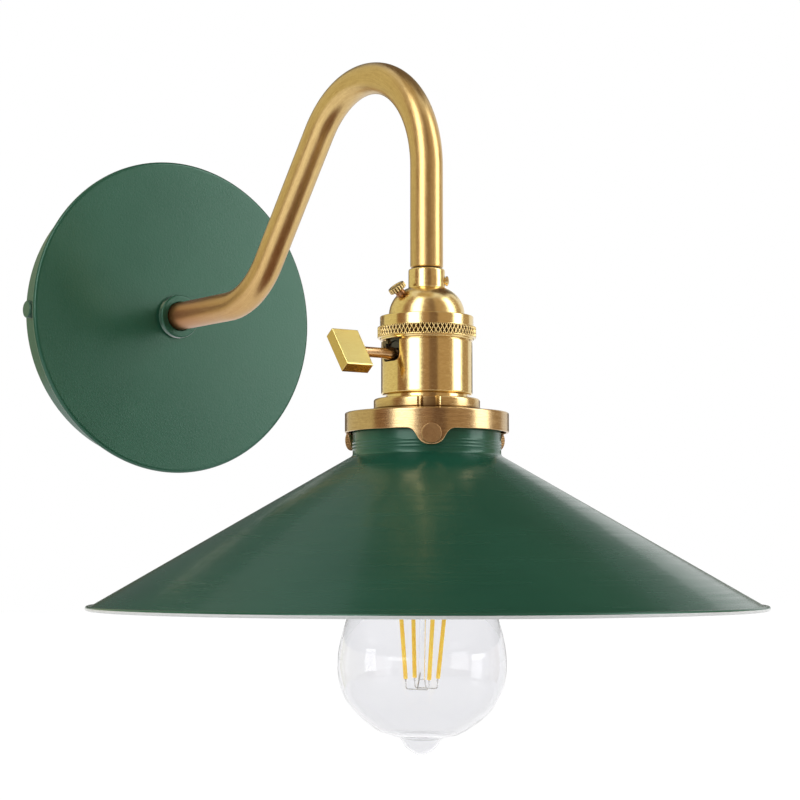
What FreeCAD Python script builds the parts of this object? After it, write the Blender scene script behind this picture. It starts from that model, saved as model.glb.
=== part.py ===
import FreeCAD, Part
import math
import os

# A gooseneck wall light with a turn-key lampholder, a cone shade and a clear filament lamp.
# Millimetres. The wall is the plane y = 0, the light reaches out along -Y, and +Z is up.
# The origin is the centre of the wall plate's back, on the wall. The arm lies in the plane x = 0.

Vector = FreeCAD.Vector
UP = Vector(0, 0, 1)
DOWN = Vector(0, 0, -1)
OUT = Vector(0, -1, 0)
INWARD = Vector(0, 1, 0)
LEFT = Vector(-1, 0, 0)
RIGHT = Vector(1, 0, 0)

# Clearances between pieces
fit = 0.05
slip = 0.3
overrun = 2.0

# Wall plate: a pressed steel dish with a wider front face, whose edge is folded over
plate_face_diameter = 143.0
plate_skirt_diameter = 132.0
plate_depth = 20.0
plate_hem = 3.0
plate_sheet = 1.4
plate_bend_round = 1.2
plate_collar_diameter = 19.6
plate_collar_height = 3.0
plate_collar_round = 0.7

# Crossbar behind the plate, and the screws that hold the plate to it
bar_width = 24.0
bar_thickness = 2.0
bar_ear_length = 12.0
bar_slot_spacing = 84.0
bar_slot_length = 12.0
bar_slot_width = 5.0
bar_window_diameter = 13.0
side_screw_height = 6.0
side_screw_diameter = 4.0
side_screw_length = 7.0
side_head_diameter = 7.8
side_head_height = 2.8
ground_screw_place = 20.0
ground_screw_diameter = 4.0
ground_head_diameter = 8.0
ground_head_height = 2.4
slot_width = 0.9
slot_depth = 0.8

# Arm: one bent brass tube
tube_diameter = 12.5
tube_wall = 1.2
arm_run = 46.0
arm_bend_radius = 42.0
arm_top_radius = 42.0
arm_lean = 51.5
socket_reach = 212.6
arm_end_height = -0.3

# Threaded nipples at the ends of the arm, and what is clamped on the inner one
nipple_wall = 1.2
nipple_in_arm = 14.0
end_nipple_in_arm = 8.0
lock_washer_diameter = 17.0
lock_washer_thickness = 0.8
lock_nut_flats = 15.0
lock_nut_thickness = 3.5
nipple_proud = 1.0
bushing_wall = 0.7
bushing_flange = 0.8
bushing_depth = 5.0

# Leads, their terminals and the block inside the wall plate
lead_diameter = 1.9
lead_spacing = 2.6
lead_bend = 3.0
lead_gentle_bend = 6.0
lead_run_clear = 0.5
block_width = 20.0
block_height = 16.0
block_thickness = 14.0
block_place = 24.0
block_pole_spacing = 10.0
block_entry_diameter = 2.8
block_entry_depth = 7.0
block_screw_diameter = 3.0
ring_terminal_thickness = 0.8
ring_terminal_diameter = 15.0
barrel_diameter = 3.2
barrel_length = 5.0
ground_loop = 30.0

# Lampholder cap, ring and body, from the top down
cap_gap = 0.5
cap_neck_diameter = 13.9
cap_neck_length = 7.4
cap_neck_round = 1.1
cap_dome_height = 10.9
cap_dome_inset = 1.85
cap_wall = 1.0
cap_flange_height = 1.2
dome_across_share = 0.669
dome_down_share = 0.312
ring_plain_height = 4.1
ring_proud = 0.45
ring_lip = 1.0
knurl_height = 4.2
knurl_proud = 0.95
ring_foot_height = 0.9
ring_round = 0.3
body_gap = 0.5
body_height = 20.3
body_wall = 1.0
body_round = 1.5
spigot_length = 11.0
key_slot_width = 10.4
key_slot_drop = 2.9
key_slot_round = 2.8

# Screws on the cap
set_screw_bearing = -56.0
set_screw_drop = 4.6
set_screw_diameter = 2.8
set_head_diameter = 3.8
set_head_height = 1.3
set_head_gap = 0.3
boss_diameter = 3.4
boss_bearing = 95.0
boss_inset = 1.3
boss_top_drop = 1.3
boss_depth = 6.3
boss_tilt = 38.0
thumb_screw_diameter = 1.9
thumb_screw_length = 4.9
thumb_head_diameter = 6.8
thumb_head_height = 2.0
thumb_head_round = 0.4

# Switch key
key_axis_drop = 5.3
key_stem_diameter = 3.9
key_stem_collar_diameter = 5.0
key_stem_collar_length = 2.0
key_paddle_start = 29.4
key_paddle_width = 11.7
key_paddle_length = 17.5
key_paddle_thickness = 4.8
key_paddle_socket = 4.0
key_angle = 36.6
rotor_diameter = 9.6
rotor_inner_end = 3.6
rotor_outer_gap = 0.8

# Inside the lampholder
insulator_top_gap = 3.0
insulator_height = 17.4
insulator_neck_inset = 0.3
liner_gap = 0.15
liner_wall = 0.7
sleeve_wall = 1.5
shell_wall = 0.4
thread_play = 0.5
shell_top_gap = 0.5
shell_length = 21.0
contact_width = 6.0
contact_length = 16.0
contact_thickness = 0.7
blade_width = 5.0
blade_thickness = 0.5
blade_place = 8.0
blade_length = 7.0
rivet_diameter = 2.4
rivet_length = 5.0
rivet_place = 6.5
pillar_edge_gap = 1.6
pillar_length = 5.5
pillar_width = 6.0
pillar_height = 5.0
pillar_entry_depth = 4.0
pillar_screw_diameter = 2.6
pillar_screw_length = 3.2

# Lobed collar, shade holder and its screws
collar_gap = 1.4
collar_height = 4.0
collar_diameter = 40.2
collar_hub_wall = 0.8
collar_round = 0.8
collar_notch = 7.8
lug_count = 3
lug_bearing = 33.5
holder_crown_gap = 0.1
holder_diameter = 62.0
holder_wall = 1.2
holder_slope = 1.2
holder_flat_diameter = 41.6
holder_height = 7.5
holder_round = 0.5
lug_drop = 6.1
lug_top_width = 14.0
lug_bottom_width = 6.8
lug_fillet = 4.0
lug_end_round = 5.0
ring_nut_diameter = 38.0
ring_nut_height = 3.0
shade_screw_drop = 2.0
shade_screw_diameter = 3.0
shade_head_diameter = 7.6
shade_head_height = 2.1
shade_head_gap = 0.4
shade_head_round = 0.3

# Shade: spun steel, with a neck, a straight cone and a rolled rim
shade_diameter = 254.0
shade_neck_diameter = 56.1
shade_neck_top_gap = 2.5
shade_neck_length = 13.7
shade_slope = 30.0
shade_sheet = 0.9
shade_fillet = 3.0
shade_bead = 0.75
shade_bead_drop = 1.4
rim_bead = 1.0
rim_bead_drop = 0.2

# Lamp: a clear glass pear on an Edison screw cap, with four light-emitting rods
lamp_lean = 1.0
lamp_lean_bearing = 125.0
lamp_cap_diameter = 25.9
lamp_cap_wall = 0.5
lamp_cap_length = 24.0
lamp_crown_height = 3.0
lamp_crown_diameter = 19.0
lamp_button_diameter = 9.0
lamp_button_height = 0.8
lamp_insulator_height = 2.3
glass_wall = 0.9
glass_in_cap = 6.0
glass_width_share = 2.45
glass_length = 119.9
glass_side_shares = [
    (0.387, 0.0),
    (0.388, 0.055),
    (0.402, 0.09),
    (0.47, 0.19),
    (0.62, 0.345),
    (0.78, 0.47),
    (0.91, 0.582),
    (1.0, 0.736),
    (0.926, 0.814),
    (0.77, 0.873),
    (0.60, 0.909),
    (0.39, 0.938),
]
glass_tip_shares = [
    (0.255, 0.949),
    (0.186, 0.973),
    (0.11, 0.99),
]
stem_flare_length = 12.0
stem_press_diameter = 7.0
stem_press_length = 46.0
stem_rod_diameter = 2.7
stem_rod_length = 46.0
rod_count = 4
rod_diameter = 1.6
rod_length = 38.0
rod_top_drop = 55.0
rod_top_radius = 10.2
rod_bottom_radius = 6.5
rod_bearing = 12.0
rod_joint_drop = 2.5
wire_bend = 1.0
wire_diameter = 0.5
driver_width = 24.6
driver_length = 13.0
driver_thickness = 1.6

# The lampholder's diameters, built up from the lamp's cap outwards
shell_bore = lamp_cap_diameter + 2 * thread_play
sleeve_diameter = shell_bore + 2 * (shell_wall + fit + sleeve_wall)
insulator_diameter = sleeve_diameter
insulator_neck_diameter = insulator_diameter - 2 * insulator_neck_inset
liner_bore = insulator_diameter + 2 * liner_gap
body_diameter = liner_bore + 2 * (liner_wall + fit + body_wall)
body_neck_diameter = insulator_neck_diameter + 2 * (2 * fit + body_wall)
spigot_diameter = sleeve_diameter
cap_flange_diameter = body_neck_diameter
cap_dome_diameter = cap_flange_diameter - 2 * cap_dome_inset
ring_diameter = body_diameter + 2 * ring_proud
knurl_diameter = ring_diameter + 2 * knurl_proud
boss_place = cap_dome_diameter / 2 - boss_inset
pillar_spacing = cap_dome_diameter - 2 * (cap_wall + pillar_edge_gap) - pillar_length
rotor_length = insulator_diameter / 2 - rotor_inner_end - rotor_outer_gap
glass_diameter = glass_width_share * lamp_cap_diameter

# Places worked out from the sizes above
tube_radius = tube_diameter / 2
tube_bore = tube_radius - tube_wall
nipple_radius = tube_bore - fit
nipple_bore = nipple_radius - nipple_wall
plate_inside = plate_depth - plate_sheet
skirt_radius = plate_skirt_diameter / 2
washer_top = plate_inside - lock_washer_thickness
terminal_top = washer_top - ring_terminal_thickness
nut_top = terminal_top - lock_nut_thickness
nipple_back = nut_top - nipple_proud
bushing_back = nipple_back - bushing_flange
lead_height = bushing_back - lead_run_clear - lead_bend
plate_collar_bore = tube_diameter + 2 * slip
cap_top = arm_end_height - cap_gap
dome_top = cap_top - cap_neck_length
ring_top = dome_top - cap_dome_height
flange_top = ring_top - ring_lip - fit
flange_bottom = flange_top - cap_flange_height
knurl_top = ring_top - ring_plain_height
knurl_bottom = knurl_top - knurl_height
ring_bottom = knurl_bottom - ring_foot_height
body_top = ring_bottom - body_gap
body_bottom = body_top - body_height
spigot_bottom = body_bottom - spigot_length
key_height = body_top - key_axis_drop
insulator_top = flange_bottom - insulator_top_gap
insulator_bottom = insulator_top - insulator_height
insulator_step = body_top - body_wall - slip
shell_top = insulator_bottom - shell_top_gap
collar_top = body_bottom - collar_gap
collar_bottom = collar_top - collar_height
crown_top = collar_bottom - holder_crown_gap
holder_top = crown_top - holder_slope
holder_bottom = holder_top - holder_height
crown_inside = crown_top - holder_wall
shade_screw_height = holder_bottom - shade_screw_drop
shade_neck_top = holder_top - shade_neck_top_gap
shade_shoulder = shade_neck_top - shade_neck_length
lamp_top = insulator_bottom - contact_thickness - fit - slip
lamp_cap_top = lamp_top - lamp_button_height - lamp_insulator_height
lamp_cap_bottom = lamp_cap_top - lamp_cap_length
glass_top = lamp_cap_bottom + glass_in_cap


def outline(steps):
    """Closed outline in the plane y = 0 through corners (across, along).

    A third number rounds its corner. Four numbers are an arc through the first pair to the second.
    """
    pairs = [step[2:] if len(step) == 4 else step[:2] for step in steps]
    ends = [Vector(across, 0, along) for across, along in pairs]
    arrivals = []
    departures = []
    bends = []
    for index, step in enumerate(steps):
        corner = ends[index]
        if len(step) == 3:
            back = (ends[index - 1] - corner).normalize()
            ahead = (ends[(index + 1) % len(ends)] - corner).normalize()
            half = back.getAngle(ahead) / 2
            reach = step[2] / math.tan(half)
            inward = (back + ahead).normalize()
            arrivals.append(corner + back * reach)
            departures.append(corner + ahead * reach)
            bends.append(corner + inward * (step[2] / math.sin(half) - step[2]))
        else:
            arrivals.append(corner)
            departures.append(corner)
            bends.append(None)
    edges = []
    for index, step in enumerate(steps):
        if len(step) == 4:
            through = Vector(step[0], 0, step[1])
            edges.append(Part.Arc(departures[index - 1], through, arrivals[index]).toShape())
        else:
            edges.append(Part.makeLine(departures[index - 1], arrivals[index]))
        if bends[index] is not None:
            edges.append(Part.Arc(arrivals[index], bends[index], departures[index]).toShape())
    return Part.Face(Part.Wire(edges))


def turned(steps):
    """Solid of revolution about Z from an outline of (radius, height) corners."""
    return outline(steps).revolve(Vector(0, 0, 0), UP, 360)


def dome_middle(across, rise):
    """Middle of a domed top's edge: its distance from the axis, and its distance below the top."""
    curve = (across ** 2 + rise ** 2) / (2 * rise)
    half = math.asin(across / curve) / 2
    return curve * math.sin(half), curve - curve * math.cos(half)


def placed(shape, place, direction=UP):
    """Copy of a shape made along Z, pointed along a direction and moved to a place."""
    copy = shape.copy()
    copy.Placement = FreeCAD.Placement(place, FreeCAD.Rotation(UP, direction)).multiply(shape.Placement)
    return copy


def cylinder(radius, bottom, top):
    return Part.makeCylinder(radius, top - bottom, Vector(0, 0, bottom))


def tube(outer, inner, bottom, top):
    return cylinder(outer, bottom, top).cut(cylinder(inner, bottom - overrun, top + overrun))


def block(width, depth, height, centre):
    corner = centre - Vector(width / 2, depth / 2, height / 2)
    return Part.makeBox(width, depth, height, corner)


def socket_place(height=0):
    """Point of the lampholder's axis at a height."""
    return Vector(0, -socket_reach, height)


def on_socket(shape):
    return placed(shape, socket_place())


def bearing(angle):
    """Level direction, turned from straight out of the wall towards -X by an angle in degrees."""
    turn = math.radians(angle)
    return Vector(-math.sin(turn), -math.cos(turn), 0)


def route(corners, radii):
    """Straight runs between corners, with a tangent arc of its own radius at each inner corner."""
    edges = []
    here = corners[0]
    for before, corner, after, radius in zip(corners, corners[1:], corners[2:], radii):
        back = (before - corner).normalize()
        ahead = (after - corner).normalize()
        half = back.getAngle(ahead) / 2
        reach = radius / math.tan(half)
        inward = (back + ahead).normalize()
        middle = corner + inward * (radius / math.sin(half) - radius)
        edges.append(Part.makeLine(here, corner + back * reach))
        edges.append(Part.Arc(corner + back * reach, middle, corner + ahead * reach).toShape())
        here = corner + ahead * reach
    edges.append(Part.makeLine(here, corners[-1]))
    return Part.Wire(edges)


def round_bar(corners, radii, radius):
    """Round bar along a route."""
    path = route(corners, radii)
    section = Part.Wire([Part.makeCircle(radius, corners[0], corners[1] - corners[0])])
    return path.makePipeShell([section], True, False)


def straight_bar(start, end, radius):
    return Part.makeCylinder(radius, (end - start).Length, start, end - start)


def slotted_screw(head_radius, head_height, shank_radius, shank_length):
    """Low domed head above z = 0 with a straight slot, and a shank below it."""
    rise = head_height / 2
    across, below = dome_middle(head_radius, rise)
    head = turned([
        (0, 0),
        (head_radius, 0),
        (head_radius, head_height - rise),
        (across, head_height - below, 0, head_height),
    ])
    slot_place = Vector(0, 0, head_height - slot_depth / 2)
    slot = block(2 * head_radius + overrun, slot_width, slot_depth, slot_place)
    return head.cut(slot).fuse(cylinder(shank_radius, -shank_length, 0)).removeSplitter()


def capstan_screw(head_radius, head_height, head_round, shank_radius, shank_length):
    """Flat round thumb head above z = 0, and a shank below it."""
    head = turned([
        (0, 0),
        (head_radius, 0, head_round),
        (head_radius, head_height, head_round),
        (0, head_height),
    ])
    return head.fuse(cylinder(shank_radius, -shank_length, 0)).removeSplitter()


def arm_corners():
    """Corners of the arm's centre line: out of the wall, up the leaning leg, and down to the lampholder."""
    lean = math.radians(arm_lean)
    first = plate_depth + arm_run + arm_bend_radius * math.tan(lean / 2)
    second_height = (socket_reach - first) * math.tan(lean)
    return Vector(0, -first, 0), Vector(0, -socket_reach, second_height)


def wall_plate():
    face_radius = plate_face_diameter / 2
    hem_back = plate_depth - plate_hem
    hem_round = plate_hem / 2
    hole = nipple_radius + slip
    dish = turned([
        (hole, plate_inside),
        (skirt_radius - plate_sheet, plate_inside, plate_bend_round),
        (skirt_radius - plate_sheet, 0),
        (skirt_radius, 0),
        (skirt_radius, hem_back),
        (face_radius - hem_round, hem_back),
        (face_radius, hem_back + hem_round, face_radius - hem_round, plate_depth),
        (hole, plate_depth),
    ])
    side_hole = side_screw_diameter / 2 + slip
    for side in (LEFT, RIGHT):
        bore = cylinder(side_hole, skirt_radius - plate_sheet - overrun, skirt_radius + overrun)
        dish = dish.cut(placed(bore, Vector(0, 0, side_screw_height), side))
    return placed(dish, Vector(0, 0, 0), OUT)


def plate_collar():
    ring = turned([
        (plate_collar_bore / 2, 0),
        (plate_collar_diameter / 2, 0),
        (plate_collar_diameter / 2, plate_collar_height, plate_collar_round),
        (plate_collar_bore / 2, plate_collar_height, plate_collar_round / 2),
    ])
    return placed(ring, OUT * plate_depth, OUT)


def bar_reach():
    """Half the crossbar's length over its ears, just inside the plate's skirt."""
    inner = skirt_radius - plate_sheet
    return math.sqrt(inner ** 2 - (bar_width / 2) ** 2) - slip


def crossbar():
    half = bar_reach()
    middle = Vector(0, -bar_thickness / 2, 0)
    bar = block(2 * half, bar_thickness, bar_width, middle)
    for side in (-1, 1):
        ear_place = Vector(side * (half - bar_thickness / 2), -bar_ear_length / 2, 0)
        ear = block(bar_thickness, bar_ear_length, bar_width, ear_place)
        bore = cylinder(side_screw_diameter / 2 + fit, half - bar_thickness - overrun, half + overrun)
        ear = ear.cut(placed(bore, OUT * side_screw_height, RIGHT * side))
        bar = bar.fuse(ear)
    deep = bar_thickness + 2 * overrun
    slot_run = bar_slot_length - bar_slot_width
    for side in (-1, 1):
        centre = Vector(side * bar_slot_spacing / 2, -bar_thickness / 2, 0)
        bar = bar.cut(block(slot_run, deep, bar_slot_width, centre))
        for end in (-1, 1):
            round_end = cylinder(bar_slot_width / 2, -deep / 2, deep / 2)
            bar = bar.cut(placed(round_end, centre + RIGHT * (end * slot_run / 2), OUT))
    window = cylinder(bar_window_diameter / 2, -overrun, bar_thickness + overrun)
    bar = bar.cut(placed(window, Vector(0, 0, 0), OUT))
    ground_hole = cylinder(ground_screw_diameter / 2 + fit, -overrun, bar_thickness + overrun)
    bar = bar.cut(placed(ground_hole, RIGHT * ground_screw_place, OUT))
    return bar.removeSplitter()


def side_screws():
    head = side_head_diameter / 2
    screw = slotted_screw(head, side_head_height, side_screw_diameter / 2, side_screw_length)
    screws = []
    for side in (LEFT, RIGHT):
        screws.append(placed(screw, OUT * side_screw_height + side * skirt_radius, side))
    return Part.makeCompound(screws)


def ground_screw():
    base = bar_thickness + ring_terminal_thickness
    screw = slotted_screw(ground_head_diameter / 2, ground_head_height, ground_screw_diameter / 2, base)
    return placed(screw, RIGHT * ground_screw_place + OUT * base, OUT)


def ring_terminal(hole):
    """Flat ring with a crimp barrel along +X, its back on z = 0."""
    outer = ring_terminal_diameter / 2
    start = math.sqrt(outer ** 2 - (barrel_diameter / 2) ** 2)
    ring = cylinder(outer, 0, ring_terminal_thickness)
    tongue_length = start + barrel_length / 2
    tongue_centre = Vector(tongue_length / 2, 0, ring_terminal_thickness / 2)
    tongue = block(tongue_length, barrel_diameter, ring_terminal_thickness, tongue_centre)
    barrel = cylinder(barrel_diameter / 2, start + barrel_length / 2, start + barrel_length)
    barrel = placed(barrel, UP * (barrel_diameter / 2), RIGHT)
    hollow = cylinder(hole, -overrun, ring_terminal_thickness + overrun)
    core = cylinder(lead_diameter / 2 + fit, start, start + barrel_length + overrun)
    core = placed(core, UP * (barrel_diameter / 2), RIGHT)
    return ring.fuse(tongue).fuse(barrel).cut(hollow).cut(core).removeSplitter()


def barrel_end():
    """Distance from a ring terminal's centre to the middle of its barrel."""
    outer = ring_terminal_diameter / 2
    return math.sqrt(outer ** 2 - (barrel_diameter / 2) ** 2) + barrel_length * 3 / 4


def ground_terminals():
    on_nipple = placed(ring_terminal(nipple_radius + fit), OUT * washer_top, INWARD)
    bar_place = RIGHT * ground_screw_place + OUT * bar_thickness
    on_bar = placed(ring_terminal(ground_screw_diameter / 2 + fit), bar_place, OUT)
    return Part.makeCompound([on_nipple, on_bar])


def ground_lead():
    upper = washer_top - barrel_diameter / 2
    lower = bar_thickness + barrel_diameter / 2
    turn = lead_bend
    corners = [
        RIGHT * barrel_end() + OUT * upper,
        RIGHT * (ground_screw_place + ground_loop - turn) + OUT * upper,
        RIGHT * (ground_screw_place + ground_loop - turn) + OUT * lower,
        RIGHT * (ground_screw_place + barrel_end()) + OUT * lower,
    ]
    return round_bar(corners, [turn, turn], lead_diameter / 2)


def arm_nipple():
    nipple = tube(nipple_radius, nipple_bore, nipple_back, plate_depth + nipple_in_arm)
    return placed(nipple, Vector(0, 0, 0), OUT)


def nipple_lock_washer():
    washer = tube(lock_washer_diameter / 2, nipple_radius + fit, washer_top, plate_inside)
    return placed(washer, Vector(0, 0, 0), OUT)


def nipple_lock_nut():
    corner_radius = lock_nut_flats / math.sqrt(3)
    corners = []
    for step in range(6):
        turn = math.radians(60 * step)
        corners.append(Vector(corner_radius * math.cos(turn), corner_radius * math.sin(turn), nut_top))
    prism = Part.Face(Part.makePolygon(corners + corners[:1])).extrude(UP * lock_nut_thickness)
    nut = prism.cut(cylinder(nipple_radius + fit, nut_top - overrun, terminal_top + overrun))
    return placed(nut, Vector(0, 0, 0), OUT)


def nipple_bushing():
    outer = nipple_bore - fit
    bushing = turned([
        (outer - bushing_wall, bushing_back),
        (nipple_radius, bushing_back, bushing_flange / 4),
        (nipple_radius, nipple_back),
        (outer, nipple_back),
        (outer, nipple_back + bushing_depth),
        (outer - bushing_wall, nipple_back + bushing_depth),
    ])
    return placed(bushing, Vector(0, 0, 0), OUT)


def block_centre():
    return Vector(0, -plate_inside + block_thickness / 2, block_place + block_height / 2)


def terminal_block():
    body = block(block_width, block_thickness, block_height, block_centre())
    entry_top = block_place + block_entry_depth
    for side in (-1, 1):
        across = RIGHT * (side * block_pole_spacing / 2)
        entry = cylinder(block_entry_diameter / 2, block_place - overrun, entry_top)
        body = body.cut(placed(entry, across + OUT * lead_height))
        block_top = block_place + block_height
        exit_bore = cylinder(block_entry_diameter / 2, entry_top + overrun, block_top + overrun)
        body = body.cut(placed(exit_bore, across + OUT * lead_height))
        for height in block_screw_heights():
            well_bottom = plate_inside - block_thickness - overrun
            well_top = lead_height - block_entry_diameter / 2
            well = cylinder(block_screw_diameter / 2 + fit, well_bottom, well_top)
            body = body.cut(placed(well, across + UP * height, OUT))
    return body


def block_screw_heights():
    inset = block_entry_depth / 2
    return block_place + inset, block_place + block_height - inset


def terminal_block_screws():
    top = plate_inside - block_thickness + slot_depth
    screw = cylinder(block_screw_diameter / 2, top, lead_height - block_entry_diameter / 2)
    slot = block(2 * block_screw_diameter, slot_width, 2 * slot_depth, Vector(0, 0, top))
    screw = screw.cut(slot)
    screws = []
    for side in (-1, 1):
        for height in block_screw_heights():
            screws.append(placed(screw, RIGHT * (side * block_pole_spacing / 2) + UP * height, OUT))
    return Part.makeCompound(screws)


def pillar_place(side):
    """Foot of a pillar terminal on top of the lampholder's insulator."""
    return socket_place(insulator_top) + RIGHT * (side * pillar_spacing / 2)


def lead(side):
    """Insulated lead from the block, through the arm, to the pillar terminal on the same side."""
    inner = RIGHT * (side * lead_spacing / 2)
    outer = RIGHT * (side * block_pole_spacing / 2)
    first, second = arm_corners()
    far = RIGHT * (side * pillar_spacing / 2)
    block_end = UP * (block_place + block_entry_depth - lead_run_clear)
    pillar_top = insulator_top + pillar_height
    corners = [
        outer + OUT * lead_height + block_end,
        outer + OUT * lead_height + UP * (block_place * 2 / 3),
        inner + OUT * lead_height + UP * (block_place / 3),
        inner + OUT * lead_height,
        inner + first,
        inner + second,
        inner + socket_place(dome_top),
        far + socket_place(pillar_top + lead_bend / 2),
        far + socket_place(pillar_top - pillar_entry_depth + lead_run_clear),
    ]
    gentle = lead_gentle_bend
    radii = [gentle, gentle, lead_bend, arm_bend_radius, arm_top_radius, gentle, lead_bend]
    return round_bar(corners, radii, lead_diameter / 2)


def gooseneck_arm():
    first, second = arm_corners()
    corners = [OUT * plate_depth, first, second, socket_place(arm_end_height)]
    radii = [arm_bend_radius, arm_top_radius]
    longer = [OUT * (plate_depth - overrun), first, second, socket_place(arm_end_height - overrun)]
    return round_bar(corners, radii, tube_radius).cut(round_bar(longer, radii, tube_bore))


def arm_end_nipple():
    return on_socket(tube(nipple_radius, nipple_bore, dome_top, arm_end_height + end_nipple_in_arm))


def dome_arc(across, down, inset):
    """Middle point of the dome's side between the neck and the ring, drawn in by the wall."""
    neck = cap_neck_diameter / 2
    middle_radius = neck + dome_across_share * (across - neck)
    middle_height = dome_top - dome_down_share * down
    return middle_radius - inset * math.sqrt(0.5), middle_height - inset * math.sqrt(0.5)


def boss_axis():
    tilt = math.radians(boss_tilt)
    return bearing(boss_bearing) * math.sin(tilt) + UP * math.cos(tilt)


def boss_top():
    return socket_place(dome_top - boss_top_drop) + bearing(boss_bearing) * boss_place


def socket_cap():
    neck = cap_neck_diameter / 2
    dome = cap_dome_diameter / 2
    outer_middle = dome_arc(dome, cap_dome_height, 0)
    inner_middle = dome_arc(dome, cap_dome_height, cap_wall)
    roof = dome_top - cap_wall
    shell = on_socket(turned([
        (nipple_radius + fit, cap_top, cap_neck_round / 2),
        (neck, cap_top, cap_neck_round),
        (neck, dome_top),
        outer_middle + (dome, ring_top),
        (dome, flange_top),
        (cap_flange_diameter / 2, flange_top),
        (cap_flange_diameter / 2, flange_bottom),
        (dome - cap_wall, flange_bottom),
        (dome - cap_wall, ring_top),
        inner_middle + (neck - cap_wall, roof),
        (nipple_radius + fit, roof),
    ]))
    boss = placed(cylinder(boss_diameter / 2, -boss_depth, 0), boss_top(), boss_axis())
    room = on_socket(turned([
        (0, flange_bottom),
        (dome - cap_wall, flange_bottom),
        (dome - cap_wall, ring_top),
        inner_middle + (neck - cap_wall, roof),
        (0, roof),
    ]))
    tapped = cylinder(thumb_screw_diameter / 2 + fit, -boss_depth - overrun, overrun)
    shell = shell.fuse(boss.cut(room)).cut(placed(tapped, boss_top(), boss_axis()))
    side = cylinder(set_screw_diameter / 2 + fit, nipple_radius - fit, neck + overrun)
    return shell.cut(placed(side, socket_place(cap_top - set_screw_drop), bearing(set_screw_bearing)))


def cap_set_screw():
    seat = cap_neck_diameter / 2 + set_head_gap
    shank = seat - nipple_radius - fit
    screw = slotted_screw(set_head_diameter / 2, set_head_height, set_screw_diameter / 2, shank)
    direction = bearing(set_screw_bearing)
    return placed(screw, socket_place(cap_top - set_screw_drop) + direction * seat, direction)


def cap_thumb_screw():
    screw = capstan_screw(
        thumb_head_diameter / 2,
        thumb_head_height,
        thumb_head_round,
        thumb_screw_diameter / 2,
        thumb_screw_length,
    )
    return placed(screw, boss_top() + boss_axis() * slip, boss_axis())


def socket_ring():
    bore = cap_flange_diameter / 2 + fit
    plain = ring_diameter / 2
    knurl = knurl_diameter / 2
    return on_socket(turned([
        (cap_dome_diameter / 2 + fit, ring_top),
        (plain, ring_top, ring_round),
        (plain, knurl_top),
        (knurl, knurl_top, ring_round),
        (knurl, knurl_bottom, ring_round),
        (plain, knurl_bottom),
        (plain, ring_bottom, ring_round),
        (bore, ring_bottom),
        (bore, ring_top - ring_lip),
        (cap_dome_diameter / 2 + fit, ring_top - ring_lip),
    ]))


def key_slot(inside):
    """Cutter for the key's slot: open at the top, with a rounded foot, on the side towards -X."""
    foot = key_height - key_slot_drop
    half = key_slot_width / 2
    face = outline([
        (-half, body_top + body_gap),
        (-half, foot, key_slot_round),
        (half, foot, key_slot_round),
        (half, body_top + body_gap),
    ])
    reach = body_diameter / 2 + overrun
    prism = face.extrude(Vector(0, reach - inside, 0))
    prism.rotate(Vector(0, 0, 0), UP, 90)
    prism.translate(LEFT * inside)
    return on_socket(prism)


def socket_body():
    neck = body_neck_diameter / 2
    outer = body_diameter / 2
    spigot = spigot_diameter / 2
    shell = on_socket(turned([
        (neck - body_wall, flange_bottom - fit),
        (neck, flange_bottom - fit),
        (neck, body_top),
        (outer, body_top, ring_round),
        (outer, body_bottom, body_round),
        (spigot, body_bottom),
        (spigot, spigot_bottom),
        (spigot - body_wall, spigot_bottom),
        (spigot - body_wall, body_bottom + body_wall),
        (outer - body_wall, body_bottom + body_wall, body_round - body_wall),
        (outer - body_wall, body_top - body_wall),
        (neck - body_wall, body_top - body_wall),
    ]))
    return shell.cut(key_slot(neck - body_wall - overrun))


def insulating_liner():
    inner = liner_bore / 2
    bottom = body_bottom + body_wall + fit
    liner = on_socket(tube(inner + liner_wall, inner, bottom + body_round / 2, insulator_step))
    return liner.cut(key_slot(inner - overrun))


def socket_insulator():
    """Moulded block that holds the switch and the pillar terminals, above the screw shell."""
    outer = insulator_diameter / 2
    body = turned([
        (0, insulator_bottom),
        (outer, insulator_bottom),
        (outer, insulator_step),
        (insulator_neck_diameter / 2, insulator_step),
        (insulator_neck_diameter / 2, insulator_top),
        (0, insulator_top),
    ])
    rotor_bore = cylinder(rotor_diameter / 2 + slip, rotor_inner_end - slip, outer + overrun)
    body = body.cut(placed(rotor_bore, UP * key_height, LEFT))
    pocket_height = key_height - insulator_bottom
    pocket_centre = Vector(-blade_place, 0, insulator_bottom + pocket_height / 2)
    body = body.cut(block(blade_length + 2 * slip, blade_width + 2 * slip, pocket_height, pocket_centre))
    for side in (-1, 1):
        rivet_top = insulator_bottom + rivet_length
        rivet = cylinder(rivet_diameter / 2 + fit, insulator_bottom - overrun, rivet_top)
        body = body.cut(placed(rivet, Vector(0, side * rivet_place, 0)))
    return on_socket(body)


def pillar_terminals():
    pillars = []
    for side in (-1, 1):
        foot = pillar_place(side)
        pillar = block(pillar_length, pillar_width, pillar_height, foot + UP * (pillar_height / 2))
        entry_bottom = pillar_height - pillar_entry_depth
        entry = cylinder(lead_diameter / 2 + fit, entry_bottom, pillar_height + overrun)
        pillar = pillar.cut(placed(entry, foot))
        tapped = cylinder(pillar_screw_diameter / 2 + fit, lead_diameter / 2, pillar_width / 2 + overrun)
        pillars.append(pillar.cut(placed(tapped, foot + UP * (pillar_height / 2), OUT)))
    return Part.makeCompound(pillars)


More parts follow.
